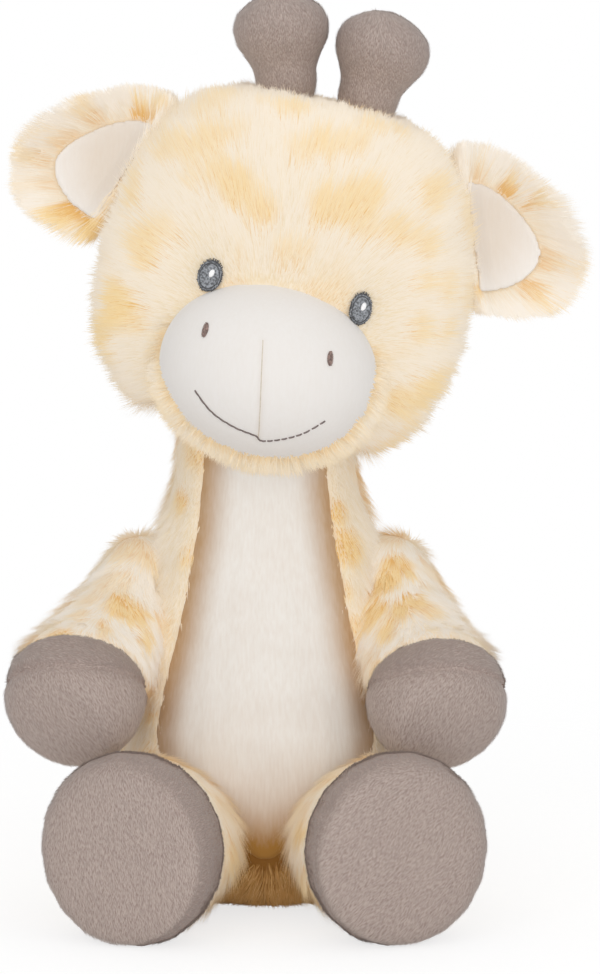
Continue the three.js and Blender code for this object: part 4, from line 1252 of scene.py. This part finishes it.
class OBJECT_OT_giraffe_arms(bpy.types.Operator):
    """Make the forelegs: fur sleeves and plush hooves"""
    bl_idname = "giraffe.arms"
    bl_label = "Forelegs"

    def execute(self, context):
        for name, side in SIDES:
            body = f"arm_{name}"
            sleeve, cuff, pad, filling = (
                f"{part}_{name}" for part in ("arm_fur", "arm_hoof", "arm_hoof_pad", "arm_stuffing")
            )
            whole = filled_skin(body, (sleeve, cuff, pad, filling), 1.3, 6, 0.5)
            pull_seam(whole, sleeve, cuff, 1.3 * MM, 2 * MM)
            arm, hoof = split_skin(whole, {f"{body}_sleeve": (sleeve,), f"{body}_hoof": (cuff, pad)})
            shoulder, heart = joint_place(body), box_middle(cuff)
            way = (heart - shoulder).normalized()
            cuff_tree = node_tree_of(cuff)

            def down_arm(point):
                return (point - shoulder).dot(way)

            def off_cuff(point):
                return cuff_tree.find_nearest(point)[3]

            def lay(point, normal):
                inner = smooth_step(-normal.x * side, -0.2, 0.6)
                cap = 1 - smooth_mm(down_arm(point), -12, 8)
                return way - Vector((side * (0.5 * inner + 0.9 * cap), 0, 0.2 - 0.2 * cap))

            def reach(point):
                return 0.5 + 0.5 * smooth_mm(off_cuff(point), 0, 9)

            def deep(point):
                return 0.4 * (1 - smooth_mm(off_cuff(point), 1, 4))

            def lie(point, normal):
                return 1.3 - 0.3 * smooth_mm(down_arm(point), -4, 14)

            spots = patches(arm, ARM_SPOTS[name], 11 * MM, 31 + side, ARM_DYE[name], 0.6)
            groom(arm, lay, spots, reach=reach, tousle=0.5, lie=lie, deep=deep)
            dress(arm, shared(fur_backing_material), body, "fur", 0.7, sleeve, filling)
            length = look().fur.body_length
            fur_pile(f"{body}_fur", arm, body, length, 0.95, 2, True, Wander=0.17, Pull=0.35)

            def off_seam(point):
                rel = point - heart
                return rel.z + 0.55 * rel.y - 2 * MM

            def hoof_lay(point, normal):
                pad_way, cuff_way = Vector((-0.5 * side, -0.2, -1)), way + Vector((0, 0.6, 0.9))
                return pad_way.lerp(cuff_way, beyond(off_seam(point)))

            plush_hoof(body, hoof, hoof_lay, everywhere, off_seam, (cuff, pad))
        return {"FINISHED"}


class OBJECT_OT_giraffe_legs(bpy.types.Operator):
    """Make the hind legs: fur thighs, plush bands and soles"""
    bl_idname = "giraffe.legs"
    bl_label = "Hind legs"

    def execute(self, context):
        for name, side in SIDES:
            body = f"leg_{name}"
            thigh, band, sole, filling = (
                f"{part}_{name}" for part in ("leg_fur", "leg_hoof", "leg_sole", "leg_stuffing")
            )
            whole = filled_skin(body, (thigh, band, sole, filling), 1.4, 6, 0.5)
            pull_seam(whole, thigh, band, 1.2 * MM, 2 * MM)
            leg, hoof = split_skin(whole, {f"{body}_thigh": (thigh,), f"{body}_hoof": (band, sole)})
            forward = Vector(joint_of(body)["axis"]).cross(UP)
            outward = (Vector((side, 0, 0)) - forward * forward.x * side).normalized()
            disc = box_middle(sole) + outward * SOLE_SHIFT[name]
            low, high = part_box(sole)
            sole_radius = (high - low).z / 2 + 2 * MM
            band_tree = node_tree_of(band)

            def off_band(point):
                return band_tree.find_nearest(point)[3]

            def cover(point):
                return 0 if point.z < SEAT_BARE else 1

            def lay(point, normal):
                return forward * 0.3 - UP

            def inner(point):
                rel = point - disc
                return smooth_mm(-(rel - forward * rel.dot(forward)).dot(outward), 12, 26)

            def reach(point):
                by_band = 0.7 + 0.3 * smooth_mm(off_band(point), 0, 6)
                return (0.5 + 0.5 * smooth_mm(point.z, 0, 10)) * by_band * (1 + 0.7 * inner(point))

            def deep(point):
                by_band = smooth_mm(off_band(point), 2, 5)
                return by_band * inner(point) * (0.5 + 0.6 * noise.noise(point / (9 * MM)))

            spots = patches(leg, LEG_SPOTS[name], 11 * MM, 47 + side, 1, 0.5)
            groom(leg, lay, spots, cover, reach, deep=deep)
            dress(leg, shared(fur_backing_material), body, "fur", 0.7, thigh, filling)
            fur_pile(f"{body}_fur", leg, body, look().fur.body_length * 0.8, 1.05, 2, Lean=0.85)

            def off_seam(point):
                rel = point - disc
                ahead = rel.dot(forward)
                return (rel - forward * ahead).length - sole_radius if ahead > -6 * MM else 10 * MM

            def hoof_lay(point, normal):
                return SOLE_LAY[name].lerp(forward, beyond(off_seam(point)))

            plush_hoof(body, hoof, hoof_lay, cover, off_seam, (band, sole))
        return {"FINISHED"}


class OBJECT_OT_giraffe_ears(bpy.types.Operator):
    """Make the ears: furry backs and velour linings"""
    bl_idname = "giraffe.ears"
    bl_label = "Ears"

    def execute(self, context):
        cloth = look().cloth
        for name, side in SIDES:
            body, back_node, lining_node = f"ear_{name}", f"ear_back_{name}", f"ear_lining_{name}"
            back = filled_skin(f"{body}_back", (back_node,), 1.2, 4, 0.1)
            lining_tree = node_tree_of(lining_node)
            outward = HEAD_ACROSS * side
            heart = box_middle(lining_node) - outward * 6 * MM
            below, above, end = EAR_REACH[name]

            def off_lining(point):
                return lining_tree.find_nearest(point)[3]

            def lay(point, normal):
                return (point - heart).normalized() + outward * 0.45 - Vector((0, 0.25, -0.1))

            def cover(point):
                return 0 if off_lining(point) < 0.6 * MM else 1

            def reach(point):
                rel = in_head(point) - in_head(heart)
                span = max(math.hypot(rel.x, rel.z), MM)
                sides = below + (above - below) * smooth_step(rel.z / span, -0.8, 0.8)
                full = sides + (end - sides) * smooth_step(rel.x * side / span, 0.2, 1)
                return full * (1 - 0.62 * smooth_mm(off_lining(point), 1, 10))

            def deep(point):
                return 0.12 * (1 - smooth_mm(off_lining(point), 1, 4))

            def lie(point, normal):
                # At the ear's edge the fur's way is the surface's own, so it stands there and doesn't part
                return min(1, 0.1 + 1.6 * (1 - lay(point, normal).normalized().dot(normal) ** 2))

            spots = patches(back, EAR_SPOTS[name], 9 * MM, 61 + side, 0.95, 0.5)
            groom(back, lay, spots, cover, reach, tousle=0.2, lie=lie, deep=deep)
            dress(back, shared(fur_backing_material), body, "fur", 0.4, back_node)
            fur_pile(f"{body}_fur", back, body, look().fur.ear_length, 1.3, 2, True, Lean=0.7)
            lining = filled_skin(f"{body}_lining", (lining_node,), 0.8, 6, 0.2)
            root = joint_place(body)
            # Painted shade in the lining's hollow near the head
            shade = [0.55 * (1 - smooth_mm((vert.co - root).length, 8, 30)) for vert in lining.data.vertices]
            written(lining.data, "deep", "FLOAT", shade)
            velour = shared(velour_material, "ear_velour", cloth.ear, cloth.ear_shade)
            dress(lining, velour, body, "muzzle_velour", 0.4, lining_node)
        return {"FINISHED"}


class OBJECT_OT_giraffe_ossicones(bpy.types.Operator):
    """Make the plush ossicones"""
    bl_idname = "giraffe.ossicones"
    bl_label = "Ossicones"

    def execute(self, context):
        for name, side in SIDES:
            body, nodes = f"ossicone_{name}", (f"ossicone_skin_{name}", f"ossicone_stuffing_{name}")
            knob = filled_skin(f"{body}_skin", nodes, 1.4, 6, 0.4)
            groom(
                knob, lambda point, normal: Vector((0.1 * side, -0.2, 1)), reach=lambda point: 0.85, tousle=0.35,
                deep=lambda point: 0.3,
            )
            dress(knob, shared(plush_backing_material), body, "plush", 0.9, *nodes)
            plush_pile(f"{body}_pile", knob, body)
        return {"FINISHED"}


class OBJECT_OT_giraffe_tail(bpy.types.Operator):
    """Make the tail and its tuft"""
    bl_idname = "giraffe.tail"
    bl_label = "Tail"

    def execute(self, context):
        tail = filled_skin("tail_skin", ("tail",), 1.2, 4, 0.2)
        groom(tail, lambda point, normal: Vector((0, 0.4, -1)))
        dress(tail, shared(fur_backing_material), "tail", "fur", 0.8, "tail")
        fur_pile("tail_fur", tail, "tail", look().fur.body_length * 0.7)
        tuft = filled_skin("tail_tuft_skin", ("tail_tuft",), 1.2, 4, 0.2)
        groom(tuft, lambda point, normal: -UP)
        dress(tuft, shared(plush_backing_material), "tail", "plush", 0.8, "tail_tuft")
        plush_pile("tail_tuft_pile", tuft, "tail")
        return {"FINISHED"}


# The stage: lamps by name, place, size and power, and what a ray sees of floor and backdrop
LAMPS = (
    ("key", (-0.7, -1.7, 1.3), 1.6, 6.7),
    ("fill", (1.3, -1.4, 0.8), 1.6, 5.1),
    ("low", (0, -1.8, 0.3), 1.2, 7.4),
    ("top", (0, 0.2, 1.9), 1.6, 3.2),
)
LAMP_AIM = Vector((0, 0, 0.14))
WORLD_LIGHT = 0.6
WHITE = (1, 1, 1)
FLOOR_HALF = 6
FLOOR_PALE = (0.9, 0.9, 0.9)
FLOOR_SEEN = (0.36, 0.36, 0.36)
FLOOR_GLOW = 0.72
FLOOR_FADE = (0.12, 0.45)


def facing(way):
    """The turn that points a lamp or a camera along a way."""
    return way.to_track_quat("-Z", "Y").to_euler()


class OBJECT_OT_giraffe_stage(bpy.types.Operator):
    """Set the floor, the lights and the camera"""
    bl_idname = "giraffe.stage"
    bl_label = "Stage"

    def execute(self, context):
        scene = bpy.context.scene
        scene.view_settings.view_transform = "Standard"
        camera = new_object("camera", bpy.data.cameras.new("camera"))
        camera.data.lens = CAMERA_LENS
        camera.data.sensor_fit = "VERTICAL"
        camera.data.sensor_height = CAMERA_SENSOR
        camera.data.clip_end = 20
        camera.location = CAMERA_PLACE
        camera.rotation_euler = facing(CAMERA_TARGET - CAMERA_PLACE)
        scene.camera = camera
        for name, place, size, power in LAMPS:
            lamp = bpy.data.lights.new(name, "AREA")
            lamp.size = size
            lamp.energy = power
            holder = new_object(name, lamp)
            holder.location = place
            holder.rotation_euler = facing(LAMP_AIM - Vector(place))
        self.backdrop(scene)
        self.floor()
        return {"FINISHED"}

    def backdrop(self, scene):
        """White where it is seen or mirrored, and dimmer as a light."""
        world = bpy.data.worlds.new("studio")
        scene.world = world
        world.use_nodes = True
        tree = world.node_tree
        path = add(tree, "ShaderNodeLightPath").node.outputs
        seen = add(tree, MATH, (path["Is Camera Ray"], path["Is Glossy Ray"]), operation="MAXIMUM")
        seen = add(tree, MATH, (seen, path["Is Transmission Ray"]), operation="MAXIMUM")
        strength = add(tree, "ShaderNodeMapRange", {0: seen, 3: WORLD_LIGHT, 4: 1.0})
        fill(tree, tree.nodes["Background"], {0: WHITE, 1: strength})

    def floor(self):
        """A pale floor that keeps the shadow near the toy and fades into the white further off."""
        shape = bmesh.new()
        bmesh.ops.create_grid(shape, x_segments=1, y_segments=1, size=FLOOR_HALF)
        material, tree, shader = new_material("pale_floor")
        seen = add(tree, "ShaderNodeLightPath", output="Is Camera Ray")
        fill(tree, shader, {
            "Base Color": add(tree, "ShaderNodeMix", {0: seen, 6: FLOOR_PALE, 7: FLOOR_SEEN}, 2, data_type="RGBA"),
            "Roughness": 1, "Specular IOR Level": 0, "Emission Color": WHITE,
            "Emission Strength": add(tree, MATH, (seen, FLOOR_GLOW), operation="MULTIPLY"),
        })
        place = add(tree, "ShaderNodeTexCoord", output="Object")
        far = add(tree, VECTOR_MATH, (place,), "Value", operation="LENGTH")
        fade = add(tree, "ShaderNodeMapRange", (far, *FLOOR_FADE), interpolation_type="SMOOTHSTEP")
        away = add(tree, MATH, (fade, seen), operation="MULTIPLY")
        clear = add(tree, "ShaderNodeBsdfTransparent")
        blend = add(tree, "ShaderNodeMixShader", (away, shader.outputs[0], clear))
        fill(tree, tree.nodes["Material Output"], {"Surface": blend})
        paint(made("floor", shape), material)


class VIEW3D_PT_giraffe(bpy.types.Panel):
    """The giraffe's pieces, in the order that they are made"""
    bl_label = "Plush giraffe"
    bl_space_type = "VIEW_3D"
    bl_region_type = "UI"
    bl_category = "Giraffe"

    def draw(self, context):
        for piece in PIECES:
            self.layout.operator(piece.bl_idname)
        for group in (look().fur, look().cloth, look().thread):
            box = self.layout.box()
            for name in group.bl_rna.properties.keys():
                if name not in ("rna_type", "name"):
                    box.prop(group, name)


PIECES = (
    OBJECT_OT_giraffe_stage,
    OBJECT_OT_giraffe_head,
    OBJECT_OT_giraffe_muzzle,
    OBJECT_OT_giraffe_face,
    OBJECT_OT_giraffe_torso,
    OBJECT_OT_giraffe_belly,
    OBJECT_OT_giraffe_arms,
    OBJECT_OT_giraffe_legs,
    OBJECT_OT_giraffe_ears,
    OBJECT_OT_giraffe_ossicones,
    OBJECT_OT_giraffe_tail,
)
CLASSES = (GiraffeFur, GiraffeCloth, GiraffeThread, GiraffeLook, *PIECES, VIEW3D_PT_giraffe)


def register():
    for cls in CLASSES:
        bpy.utils.register_class(cls)
    bpy.types.Scene.giraffe_look = PointerProperty(type=GiraffeLook)


def unregister():
    del bpy.types.Scene.giraffe_look
    for cls in reversed(CLASSES):
        bpy.utils.unregister_class(cls)


def main():
    register()
    for piece in PIECES:
        group, name = piece.bl_idname.split(".")
        getattr(getattr(bpy.ops, group), name)()
    for (make, *_), thing in SHARED.items():
        if make is make_blade:
            bpy.data.objects.remove(thing)


if __name__ == "__main__":
    main()
